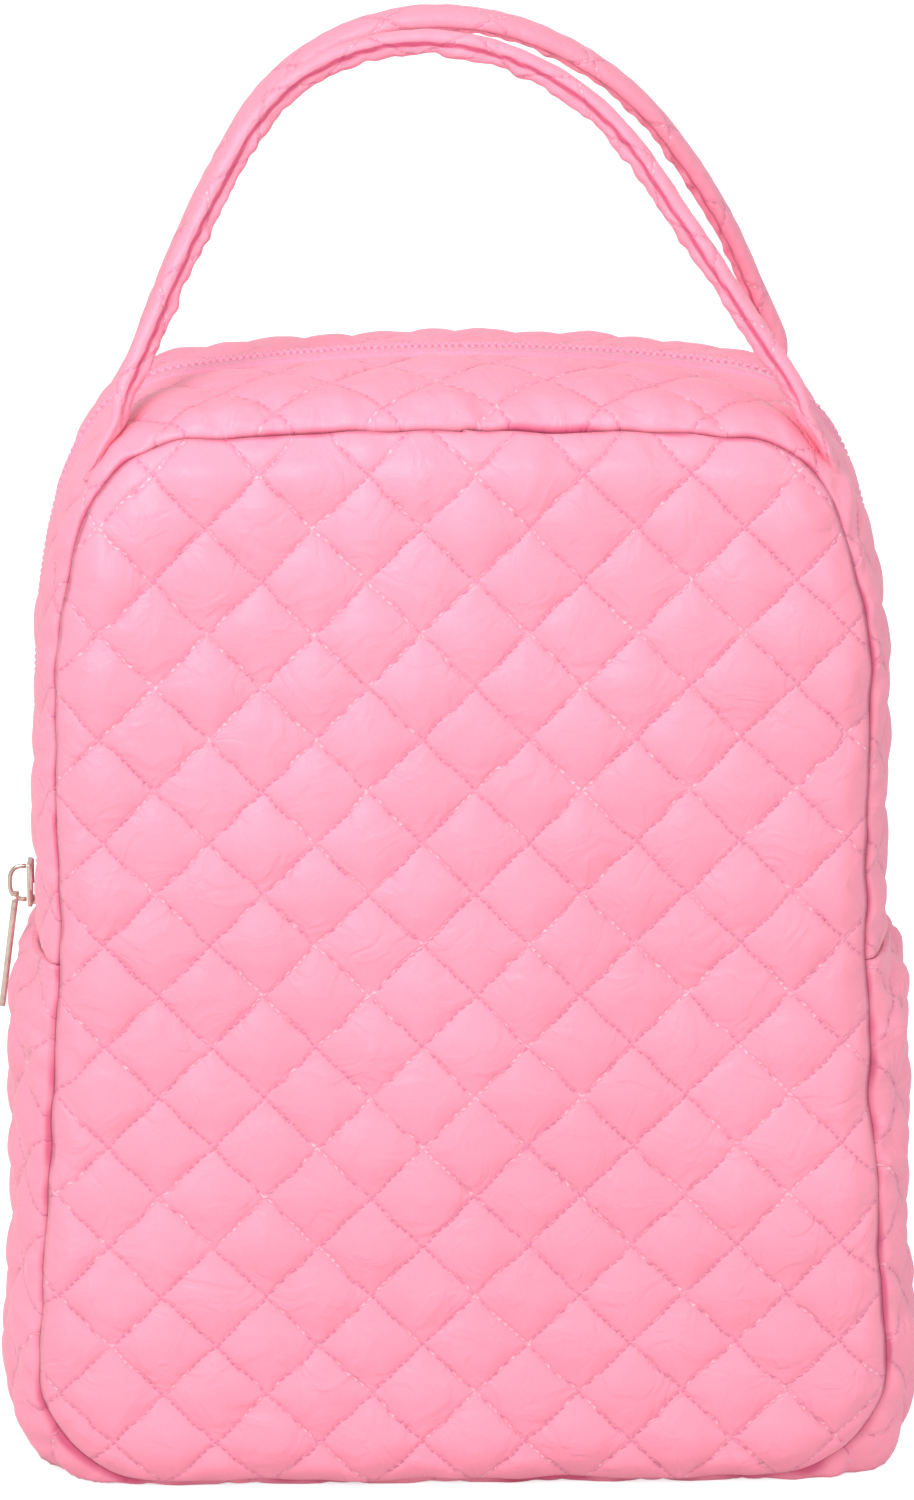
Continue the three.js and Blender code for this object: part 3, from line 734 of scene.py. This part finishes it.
def quilted_strip(name, side, look):
    """The strip in front of the zip, side -1, or behind it, side 1, folded under along the zip."""
    end = strip_length()
    q = np.linspace(-end, end, 330)
    wide = np.linspace(0, 1, 40)
    depth = STRIP_INNER + (EDGE_Y - STRIP_INNER) * (0.35 * wide + 0.65 * np.sin(wide * math.pi / 2))
    q, depth = np.meshgrid(q, depth, indexing="ij")
    to_end, to_seam, to_zip = end - np.abs(q), EDGE_Y - depth, depth - STRIP_INNER
    height = crown(depth, CROWN_UPPER - 0.9 + slump(from_top(q)))
    height += 0.5 * ripple(q, depth, 55, 31 + side) * smooth(2, 14, to_seam) * smooth(0, 8, to_zip)
    height -= 1.3 * np.exp(-to_zip / 2.2) + 0.45 * bump(to_zip - 3.4, 0.8)
    fold = bump(depth - (9 + 0.9 * to_end), 2.6)
    height -= 1.2 * fold * (1 - smooth(14, 30, to_end)) * smooth(0, 3, to_seam)
    points = gusset_points(from_top(q), side * depth, height, 1.0)
    cloth = np.stack([q + 5.5, depth * 1.08 - 8.0], 2)
    puff = 0.78 * look.quilt_puff / MM * (puffs(cloth[..., 0], cloth[..., 1], look.quilt_pitch / MM) - 0.3)
    puff *= smooth(0, 8, to_seam) * smooth(1, 9, to_zip) * smooth(0, 5, to_end)
    puff *= 1 + 0.2 * ripple(q, depth, 30, 33)
    pucker = ripple(q + 0.5 * to_seam, 0, 9, 34 + side) * np.exp(-to_seam / 6) * smooth(0, 1.5, to_seam)
    pucker += 0.25 * ripple(q, 0, 7, 36 + side) * np.exp(-to_zip / 4)
    points = pushed(points, puff + pucker + 0.14 * ripple(q, depth, 8, 38 + side) * smooth(0, 5, to_seam))
    seam = uneven_seam(np.minimum(to_seam / 0.8, 0.7 + np.minimum(to_end, to_zip) / 0.6), q)
    return sewn_grid(name, points, cloth, seam=seam, thick=look.wall / MM)


class MAKEUPBAG_OT_panels(bpy.types.Operator):
    """Quilted front and back panels, padded and pulled in at their seams"""

    bl_idname = "makeup_bag.panels"
    bl_label = "Quilted panels"

    def execute(self, context):
        look, made = context.scene.makeup_bag_look, materials(context.scene)
        front = quilted_panel("quilted_front_panel", -1, look)
        finished(front, made["puffed_nylon"], "front_panel_upper", "front_panel_lower", body="flap")
        back = quilted_panel("quilted_back_panel", 1, look)
        finished(back, made["puffed_nylon"], "back_panel")
        return {"FINISHED"}


class MAKEUPBAG_OT_gussets(bpy.types.Operator):
    """Quilted base gusset, and the two quilted strips beside the zip"""

    bl_idname = "makeup_bag.gussets"
    bl_label = "Quilted gussets"

    def execute(self, context):
        look, made = context.scene.makeup_bag_look, materials(context.scene)
        base = quilted_base("quilted_base_gusset", look)
        finished(base, made["puffed_nylon"], "base_gusset")
        front = quilted_strip("quilted_front_strip", -1, look)
        finished(front, made["puffed_nylon"], "front_zip_strip", body="flap")
        rear = quilted_strip("quilted_rear_strip", 1, look)
        finished(rear, made["puffed_nylon"], "rear_zip_strip")
        return {"FINISHED"}


# ---- Lining and binding --------------------------------------------------------------------------
LINING_INSET = 4.8
LINING_THICK = 0.6
LINING_EDGE, LINING_BASE_TOP = cad_box("base_gusset_lining")[1][1:]
BINDING_INSET = 7.6
BINDING_HALF = 1.4


def panel_lining(name, side):
    """The plain lining inside the front panel, side -1, or the back one, side 1."""
    over, up, apart, _ = panel_points(LINING_INSET, 3.5)
    sink = 0.8 * ripple(over, up, 45, 50 + side) * smooth(0, 25, apart)
    depth = side * (EDGE_Y - LINING_THICK / 2 + 0.15 + np.maximum(sink, -0.5) * 0.3)
    points = np.stack([over, depth, up], 2)
    return sewn_grid(name, points, np.stack([over, up], 2), thick=LINING_THICK)


def base_lining(name):
    """The lining inside the base gusset, lying loosely."""
    end = seam_length_to(LINING_BASE_TOP)
    across = np.linspace(-LINING_EDGE, LINING_EDGE, 34)
    t, depth = np.meshgrid(np.linspace(-end, end, 150), across, indexing="ij")
    height = crown(depth, CROWN_LOWER) - LINING_INSET
    height -= 0.5 * (1 + ripple(t, depth, 35, 61)) * smooth(0, 10, LINING_EDGE - np.abs(depth))
    points = gusset_points(t, depth, height)
    points[..., 2] = np.maximum(points[..., 2], LINING_INSET)
    return sewn_grid(name, points, np.stack([t, depth], 2), thick=LINING_THICK)


def strip_lining(name, side):
    """The lining under the strip on one side of the zip."""
    end = strip_length()
    across = np.linspace(STRIP_INNER, LINING_EDGE, 14)
    q, depth = np.meshgrid(np.linspace(-end, end, 150), across, indexing="ij")
    height = crown(depth, CROWN_UPPER + slump(from_top(q))) - LINING_INSET
    height -= 0.3 * (1 + ripple(q, depth, 30, 63 + side))
    points = gusset_points(from_top(q), side * depth, height)
    return sewn_grid(name, points, np.stack([q, depth], 2), thick=LINING_THICK)


def seam_binding(name, side):
    """The rounded tape that binds the front or the back seam inside, all the way round."""
    t = np.linspace(-SEAM_LENGTH, SEAM_LENGTH, 461)[:-1]
    x, z, out_x, out_z = on_seam(t)
    depth = side * (LINING_EDGE - BINDING_HALF - 0.1)
    line = np.stack([x - BINDING_INSET * out_x, np.full_like(x, depth), z - BINDING_INSET * out_z], 1)
    half = np.full(len(line), BINDING_HALF)
    return tube(name, line, DEPTHWISE, half, half, 10, closed_path=True)


class MAKEUPBAG_OT_lining(bpy.types.Operator):
    """Lining of the panels and gussets, with the tape that binds each inside seam"""

    bl_idname = "makeup_bag.lining"
    bl_label = "Lining and binding"

    def execute(self, context):
        made = materials(context.scene)
        cloth, tape = made["lining_cloth"], made["binding_weave"]
        front = panel_lining("front_lining", -1)
        nodes = ("front_panel_lining_upper", "front_panel_lining_lower")
        finished(front, cloth, *nodes, body="flap", slot="lining_fabric")
        back = panel_lining("back_lining", 1)
        finished(back, cloth, "back_panel_lining", slot="lining_fabric")
        base = base_lining("base_lining")
        finished(base, cloth, "base_gusset_lining", slot="lining_fabric")
        for side, word, body in ((-1, "front", "flap"), (1, "rear", "body")):
            strip = strip_lining(f"{word}_strip_lining_cloth", side)
            finished(strip, cloth, f"{word}_strip_lining", body=body, slot="lining_fabric")
        nodes = ("front_seam_binding_upper", "front_seam_binding_lower")
        finished(seam_binding("front_binding", -1), tape, *nodes, body="flap", slot="binding_tape")
        finished(seam_binding("back_binding", 1), tape, "back_seam_binding", slot="binding_tape")
        return {"FINISHED"}


# ---- The zip -------------------------------------------------------------------------------------
COIL_PITCH = 1.6
COIL_DEPTH = 1.13
COIL_SINK = 0.45
HUMP_HALF = (0.76, 1.3, 1.0)  # half of one hump along the zip, across it and in height
HUMP_SLANT = 0.22
TAPE_SINK = 0.2
TAPE_EDGE = 0.3
TAPE_WIDTH = 12.7  # its outer half is sewn in under the quilted strip
TAPE_TUCK = 2.8
TAPE_THICK = 0.7


def zip_tape(name, side):
    """A woven tape with a raised rib beside the coil, dipping under the quilted strip."""
    end = strip_length() - 0.2
    across = np.linspace(TAPE_EDGE, TAPE_EDGE + TAPE_WIDTH, 16)
    q, depth = np.meshgrid(np.linspace(-end, end, 300), across, indexing="ij")
    height = CROWN_UPPER + slump(from_top(q)) - TAPE_SINK - TAPE_TUCK * smooth(5.8, 8.2, depth)
    height += 0.25 * bump(depth - 3.6, 0.5)
    points = gusset_points(from_top(q), side * depth, height)
    return sewn_grid(name, points, np.stack([q, depth], 2), thick=TAPE_THICK)


def zip_coil(name, side):
    """One row of a nylon coil: a small hump for each turn of the filament."""
    end = strip_length() - 2.4
    turns = np.arange(-end + (side > 0) * COIL_PITCH / 2, end, COIL_PITCH)
    x, z, out_x, out_z = on_seam(from_top(turns))
    lift = slump(from_top(turns))
    one_turn = bpy.data.meshes.new("one_turn")
    bm = bmesh.new()
    for k in range(len(turns)):
        out = Vector((out_x[k], 0, out_z[k]))
        along = Vector((out_z[k], side * HUMP_SLANT, -out_x[k])).normalized()
        place = Matrix((along, out.cross(along), out)).transposed().to_4x4()
        spot = Vector((x[k], side * COIL_DEPTH, z[k])) + out * (CROWN_UPPER + lift[k] - COIL_SINK)
        shape = Matrix.Translation(spot * MM) @ place @ Matrix.Diagonal((*Vector(HUMP_HALF) * MM, 1))
        hump = bmesh.new()
        bmesh.ops.create_uvsphere(hump, u_segments=8, v_segments=6, radius=1, matrix=shape)
        hump.to_mesh(one_turn)
        hump.free()
        bm.from_mesh(one_turn)
    bpy.data.meshes.remove(one_turn)
    return shaded(name, bm)


def shaded(name, bm, sharp_angle=None):
    """A finished object from a bmesh, with smooth faces."""
    if sharp_angle is not None:
        for edge in bm.edges:
            edge.smooth = not edge.is_manifold or edge.calc_face_angle(0) < sharp_angle
    for face in bm.faces:
        face.smooth = True
    mesh = bpy.data.meshes.new(name)
    bm.to_mesh(mesh)
    bm.free()
    piece = bpy.data.objects.new(name, mesh)
    bpy.context.scene.collection.objects.link(piece)
    return piece


class MAKEUPBAG_OT_zip(bpy.types.Operator):
    """Both woven tapes and both rows of the nylon coil, with a metal stop at each end"""

    bl_idname = "makeup_bag.zip"
    bl_label = "Zip"

    def execute(self, context):
        made = materials(context.scene)
        for side, word, body in ((-1, "front", "flap"), (1, "rear", "body")):
            tape = zip_tape(f"{word}_woven_tape", side)
            finished(tape, made["zip_tape_cloth"], f"{word}_zip_tape", body=body, slot="zip_tape")
            coil = zip_coil(f"{word}_nylon_coil", side)
            finished(coil, made["zip_coil_nylon"], f"{word}_zip_teeth", body=body, slot="zip_teeth")
        for name in ("left_zip_stop", "right_zip_stop"):
            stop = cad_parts[name]
            stop.data.materials.clear()
            stop.data.materials.append(made["pale_plated_metal"])
        return {"FINISHED"}


# ---- Slider, bail and pull -----------------------------------------------------------------------
SLIDER_PLATE, SLIDER_TAPER = 1.2, 0.28
BAIL_WIRE = 0.55
PULL_LENGTH, PULL_THICK, PULL_TOP = 29.6, 1.5, 0.55
PULL_TURN_X = -108.55
EYE_HALF, EYE_TOP, EYE_BOTTOM = 1.1, -0.55, -4.1
CAD_PULL_LENGTH = 27.3
LEAN_SHARE = 0.88  # the longer bar hangs a little steeper, so that it stands out no farther


def plate(bm, low, high, taper=0.0):
    """A small pressed plate between two corners in mm, narrower at its lower end, with rounded edges."""
    low, high = np.array(low), np.array(high)
    made = bmesh.ops.create_cube(bm, size=1)["verts"]
    bmesh.ops.scale(bm, vec=(high - low) * MM, verts=made)
    for vert in made:
        if vert.co.z < 0:
            vert.co.y *= 1 - taper
    bmesh.ops.translate(bm, vec=(high + low) / 2 * MM, verts=made)
    edges = list({edge for vert in made for edge in vert.link_edges})
    round_by = 0.24 * min(high - low) * MM
    bmesh.ops.bevel(bm, geom=edges, offset=round_by, affect="EDGES", segments=3, profile=0.5, material=-1)


def slider_body(name):
    """Two plates joined by a narrow wedge, with a flange down each side and two ridges outside."""
    low, high = cad_box("zip_slider")
    outer, inner = low[0] + SLIDER_PLATE, high[0] - SLIDER_PLATE
    bm = bmesh.new()
    plate(bm, low, (outer, high[1], high[2]), SLIDER_TAPER)
    plate(bm, (inner, low[1], low[2]), high, SLIDER_TAPER)
    plate(bm, (low[0] + 0.2, -0.24, low[2]), (high[0] - 0.2, 0.24, low[2] + 2.4))
    rim = high[1] * 0.97
    for side in (-1, 1):
        edge = sorted((side * rim, side * (rim - 0.8)))
        plate(bm, (outer - 0.5, edge[0], low[2] + 4.5), (outer + 0.25, edge[1], high[2] - 0.3))
        ridge = side * 1.5
        plate(bm, (low[0] - 0.02, ridge - 0.35, low[2] + 2), (low[0] + 0.5, ridge + 0.35, high[2] - 2))
    return shaded(name, bm, math.radians(40))


def slider_bail(name):
    """A wire arch down the slider's outer plate."""
    low, high = cad_box("slider_bail")
    turn = np.linspace(-math.pi / 2, math.pi / 2, 33)
    reach, half = high[0] - low[0] - BAIL_WIRE, (high[2] - low[2]) / 2 - BAIL_WIRE
    x = high[0] - 0.05 - reach * np.abs(np.cos(turn)) ** 0.6
    z = (low[2] + high[2]) / 2 + half * np.sign(turn) * np.abs(np.sin(turn)) ** 0.85
    line = np.stack([x, np.zeros_like(x), z], 1)
    size = np.full(len(line), BAIL_WIRE)
    return tube(name, line, DEPTHWISE, size, size * 1.05, 12)


def zip_pull(name):
    """A slim flat bar with round ends and an eye round the bail, hanging a little outwards."""
    low, high = cad_box("zip_pull")
    bar, eye = (high[1], PULL_TOP, PULL_TOP - PULL_LENGTH), (EYE_HALF, EYE_TOP, EYE_BOTTOM)
    bm = bmesh.new()
    rings = []
    for width, upper, lower in (bar, eye):
        ring = bmesh.ops.create_circle(bm, segments=36, radius=width * MM)["verts"]
        middle = ((upper - width) + (lower + width)) / 2
        stretch = ((upper - width) - (lower + width)) / 2
        for vert in ring:
            vert.co.y += math.copysign(stretch, vert.co.y) * MM + middle * MM
        rings.append({edge for vert in ring for edge in vert.link_edges})
    faces = bmesh.ops.bridge_loops(bm, edges=list(rings[0] | rings[1]))["faces"]
    bmesh.ops.triangulate(bm, faces=faces)
    grown = bmesh.ops.extrude_face_region(bm, geom=bm.faces[:])["geom"]
    risen = [part for part in grown if isinstance(part, bmesh.types.BMVert)]
    bmesh.ops.translate(bm, vec=(0, 0, PULL_THICK * MM), verts=risen)
    bmesh.ops.recalc_face_normals(bm, faces=bm.faces[:])
    rims = [e for e in bm.edges if len(e.link_faces) == 2 and e.calc_face_angle(0) > math.radians(60)]
    bmesh.ops.bevel(bm, geom=rims, offset=0.22 * MM, affect="EDGES", segments=2, profile=0.5, material=-1)
    lean = LEAN_SHARE * math.asin(((high[0] - low[0]) - PULL_THICK) / CAD_PULL_LENGTH)
    pivot = Vector((PULL_TURN_X, 0, high[2] - PULL_TOP))
    stand = Matrix(((0, 0, 1), (1, 0, 0), (0, 1, 0))).to_4x4()
    centred = Matrix.Translation((0, 0, -PULL_THICK / 2 * MM))
    place = Matrix.Translation(pivot * MM) @ Matrix.Rotation(lean, 4, "Y") @ stand @ centred
    bmesh.ops.transform(bm, matrix=place, verts=bm.verts[:])
    return shaded(name, bm, math.radians(35))


class MAKEUPBAG_OT_slider(bpy.types.Operator):
    """Zip slider with its bail and a slim pull, in pale plated metal"""

    bl_idname = "makeup_bag.slider"
    bl_label = "Slider and pull"

    def execute(self, context):
        metal = materials(context.scene)["pale_plated_metal"]
        finished(slider_body("plated_slider"), metal, "zip_slider", body="slider", slot="pale_metal")
        finished(slider_bail("plated_bail"), metal, "slider_bail", body="slider", slot="pale_metal")
        finished(zip_pull("plated_pull"), metal, "zip_pull", body="pull", slot="pale_metal")
        return {"FINISHED"}


# ---- Handles -------------------------------------------------------------------------------------
TURN_X, TURN_Y, TURN_Z = 81.0, 38.0, 266.6
APEX_Y = 12.0
ARCH_RADIUS = 54.0
STRAP_HALF, STRAP_SIDE = 2.9, 4.3
STRAP_STEP = 0.9
FOOT_HALF, FOOT_SIDE = 1.25, 4.8
FRONT_INWARD, REAR_INWARD = 3.9, 1.0
STRAPS = (  # side, word, body under its feet, how far its top leans to the left, height of its top
    (-1, "front", "front_flap", 8.8, 346.2),
    (1, "rear", "body", 4.5, 349.2),
)


def strap_arch(side, lean_left, apex_z):
    """The middle line of a strap over its arch, from where it leaves its right foot to its left foot."""
    rise = math.hypot(TURN_Y - APEX_Y, apex_z - TURN_Z)
    middle = rise - ARCH_RADIUS
    turn_x = TURN_X - (FRONT_INWARD if side < 0 else REAR_INWARD)
    reach = math.hypot(turn_x, middle)
    touch = math.acos(ARCH_RADIUS / reach) - math.atan2(middle, turn_x)
    turn = np.linspace(touch, math.pi - touch, 90)
    arch = np.stack([ARCH_RADIUS * np.cos(turn), middle + ARCH_RADIUS * np.sin(turn)], 1)
    leg = np.linspace((turn_x, 0.0), arch[0], 30)[:-1]
    flat = np.vstack([leg, arch, leg[::-1] * (-1, 1)])
    share = flat[:, 1] / rise
    climb = np.clip(share, 0, 1)
    right = smooth(-25, 25, flat[:, 0])
    belly = np.sin(math.pi * climb)
    if side < 0:  # the front strap's legs lean out a little low down
        bow_right, bow_left = 1.2 * (1 - climb), -2.1 * (1 - smooth(0.4, 0.75, climb))
    else:  # the rear strap bows out halfway up
        bow_right, bow_left = 5.4 * belly**1.5, 3.2 * (1 - climb) ** 4 - 1.4 * belly**2
    bow = bow_right * right + bow_left * (1 - right)
    line_x = flat[:, 0] + bow - lean_left * climb**1.1
    line_y = side * (TURN_Y - (TURN_Y - APEX_Y) * share)
    line_z = TURN_Z + (apex_z - TURN_Z) * share
    return np.stack([line_x, line_y, line_z], 1)


def strap_foot(side):
    """The middle line of a strap's right foot, from under its arch down to its sewn end."""
    foot_s = seam_length_to(SHOULDER[0][1]) + np.linspace(51, 66, 8)[::-1]
    x, z, out_x, out_z = on_seam(foot_s)
    depth = np.linspace(TURN_Y + 0.2, TURN_Y + 1.2, 8)
    stand = crown(depth, CROWN_UPPER + slump(foot_s)) + np.linspace(1.0, -3.2, 8)
    return np.stack([x + out_x * stand, side * depth, z + out_z * stand], 1)


def strap_line(side, lean_left, apex_z):
    """A strap from its right foot over its arch to its left foot: its middle line, its side direction, and
    how free each point is, from 0 on a foot to 1 on the arch. Its top is at apex_z and leans to the left."""
    foot = strap_foot(side)
    line = np.vstack([foot[::-1], strap_arch(side, lean_left, apex_z), foot * (-1, 1, 1)])
    steps = run_along(line)
    even = np.arange(0, steps[-1], STRAP_STEP)
    line = np.stack([np.interp(even, steps, line[:, k]) for k in range(3)], 1)
    line = evened(line, np.hanning(13)[1:-1])
    free = smooth(TURN_Z - 14, TURN_Z + 6, line[:, 2])
    arch_side = np.array([0.0, apex_z - TURN_Z, side * (TURN_Y - APEX_Y)])
    arch_side /= np.linalg.norm(arch_side)
    across = free[:, None] * arch_side + (1 - free[:, None]) * DEPTHWISE
    return line, across, free


def carry_handle(name, side, lean_left, apex_z):
    """A quilted strip folded round its padding and stitched along its thin and ruffled inner edge."""
    line, across, free = strap_line(side, lean_left, apex_z)
    half_out = FOOT_HALF + (STRAP_HALF - FOOT_HALF) * free
    half_side = STRAP_SIDE + (FOOT_SIDE - STRAP_SIDE) * (1 - free)
    to_end = STRAP_STEP * np.minimum(np.arange(len(line)), np.arange(len(line))[::-1])
    half_side *= 0.3 + 0.7 * smooth(0, 9, to_end)

    def rolled(out, wide, steps):
        place = out / half_out[None]
        body = smooth(-0.50, -0.22, place)
        flange = 0.50 + 0.12 * ripple(steps, 0, 6, 71 + side)
        narrow = flange + (1 - flange) * body - 0.2 * bump(place + 0.30, 0.14)
        narrow = 1 - (1 - narrow) * free[None]
        ruffle = 0.55 * ripple(steps, 0, 7, 73 + side) * (1 - body) * free[None]
        swell = 1 + 0.035 * ripple(steps, out * 2, 16, 75 + side)
        swell += 0.03 * ripple(steps, wide * 2, 6, 77 + side)
        stitches_at = -0.30 + 0.06 * ripple(steps, 0, 6, 79 + side)
        # Painted shade along the stitched line near the strap's inner edge, carried in the seam mask.
        seam_shade_mark = 1.2 * bump(place - stitches_at, 0.15) * free[None]
        scallop = 0.3 * ripple(steps, 0, 5, 83 + side) + 0.35 * ripple(steps, 0, 14, 85 + side)
        scallop = scallop * (1 - body) * free[None] * smooth(0.3, 1.0, -place)
        return out * swell + scallop, wide * narrow * swell + ruffle, seam_shade_mark

    return tube(name, line, across, half_out, half_side, 44, bend=rolled)


class MAKEUPBAG_OT_handles(bpy.types.Operator):
    """Front and rear carry handles, with their feet sewn down on the zip strips"""

    bl_idname = "makeup_bag.handles"
    bl_label = "Carry handles"

    def execute(self, context):
        made = materials(context.scene)
        for side, word, body, lean_left, apex_z in STRAPS:
            handle = carry_handle(f"{word}_carry_handle", side, lean_left, apex_z)
            nodes = (f"{word}_handle", f"{word}_left_foot", f"{word}_right_foot")
            finished(handle, made["puffed_nylon"], *nodes, body=None)
            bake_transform(handle)
        return {"FINISHED"}


# ---- Floor, lights and camera --------------------------------------------------------------------
def area_light(name, place, target, size, power):
    """A round softbox at a place, facing a target, in metres and watts."""
    light = bpy.data.lights.new(name, "AREA")
    light.shape = "DISK"
    light.size = size
    light.energy = power
    lamp = bpy.data.objects.new(name, light)
    lamp.location = place
    lamp.rotation_euler = (Vector(target) - Vector(place)).to_track_quat("-Z", "Y").to_euler()
    bpy.context.scene.collection.objects.link(lamp)


class MAKEUPBAG_OT_stage(bpy.types.Operator):
    """Pale floor, soft studio lights and the camera"""

    bl_idname = "makeup_bag.stage"
    bl_label = "Studio"

    def execute(self, context):
        scene = context.scene
        bm = bmesh.new()
        bmesh.ops.create_grid(bm, x_segments=1, y_segments=1, size=6)
        floor = shaded("pale_floor", bm)
        floor.data.materials.append(materials(scene)["pale_floor"])
        world = bpy.data.worlds.new("studio_air")
        world.use_nodes = True
        air = Nodes(world.node_tree)
        seen = air.add("ShaderNodeLightPath").outputs["Is Camera Ray"]
        air.put(world.node_tree.nodes["Background"].inputs[0], (1.0, 1.0, 1.0, 1.0))
        air.put(world.node_tree.nodes["Background"].inputs[1], air.rise(seen, 0.0, 1.0, 0.72, 1.0))
        scene.world = world
        scene.view_settings.view_transform = "Standard"
        middle = (0, 0, 0.17)
        area_light("key_softbox", (-0.38, -0.70, 0.76), middle, 0.5, 6.0)
        area_light("fill_softbox", (1.2, -1.2, 0.7), middle, 1.0, 4.5)
        area_light("top_softbox", (0.0, 0.2, 1.7), middle, 1.0, 1.0)
        camera = bpy.data.cameras.new("studio_camera")
        camera.sensor_fit = "VERTICAL"
        camera.sensor_height = 36
        camera.lens = 127.8864
        turn, rise, distance = math.radians(-1.35), math.radians(13.97), 1.3
        target = Vector((-0.0004, 0, 0.17266))
        back = Vector((math.sin(turn) * math.cos(rise), -math.cos(turn) * math.cos(rise), math.sin(rise)))
        eye = bpy.data.objects.new("studio_camera", camera)
        eye.location = target + back * distance
        eye.rotation_euler = (-back).to_track_quat("-Z", "Y").to_euler()
        scene.collection.objects.link(eye)
        scene.camera = eye
        return {"FINISHED"}


class MAKEUPBAG_PT_panel(bpy.types.Panel):
    """Lists the bag's settings and the pieces it is made of"""

    bl_label = "Makeup bag"
    bl_idname = "MAKEUPBAG_PT_panel"
    bl_space_type = "VIEW_3D"
    bl_region_type = "UI"
    bl_category = "Makeup bag"

    def draw(self, context):
        look = context.scene.makeup_bag_look
        for name in MakeupBagLook.__annotations__:
            self.layout.prop(look, name)
        for piece in PIECES:
            self.layout.operator(piece.bl_idname)


PIECES = (
    MAKEUPBAG_OT_stage,
    MAKEUPBAG_OT_panels,
    MAKEUPBAG_OT_gussets,
    MAKEUPBAG_OT_lining,
    MAKEUPBAG_OT_zip,
    MAKEUPBAG_OT_slider,
    MAKEUPBAG_OT_handles,
)
CLASSES = (MakeupBagLook, *PIECES, MAKEUPBAG_PT_panel)


def register():
    for kind in CLASSES:
        bpy.utils.register_class(kind)
    bpy.types.Scene.makeup_bag_look = bpy.props.PointerProperty(type=MakeupBagLook)


def unregister():
    del bpy.types.Scene.makeup_bag_look
    for kind in reversed(CLASSES):
        bpy.utils.unregister_class(kind)


def main():
    register()
    for piece in PIECES:
        getattr(bpy.ops.makeup_bag, piece.bl_idname.split(".")[1])()


if __name__ == "__main__":
    main()
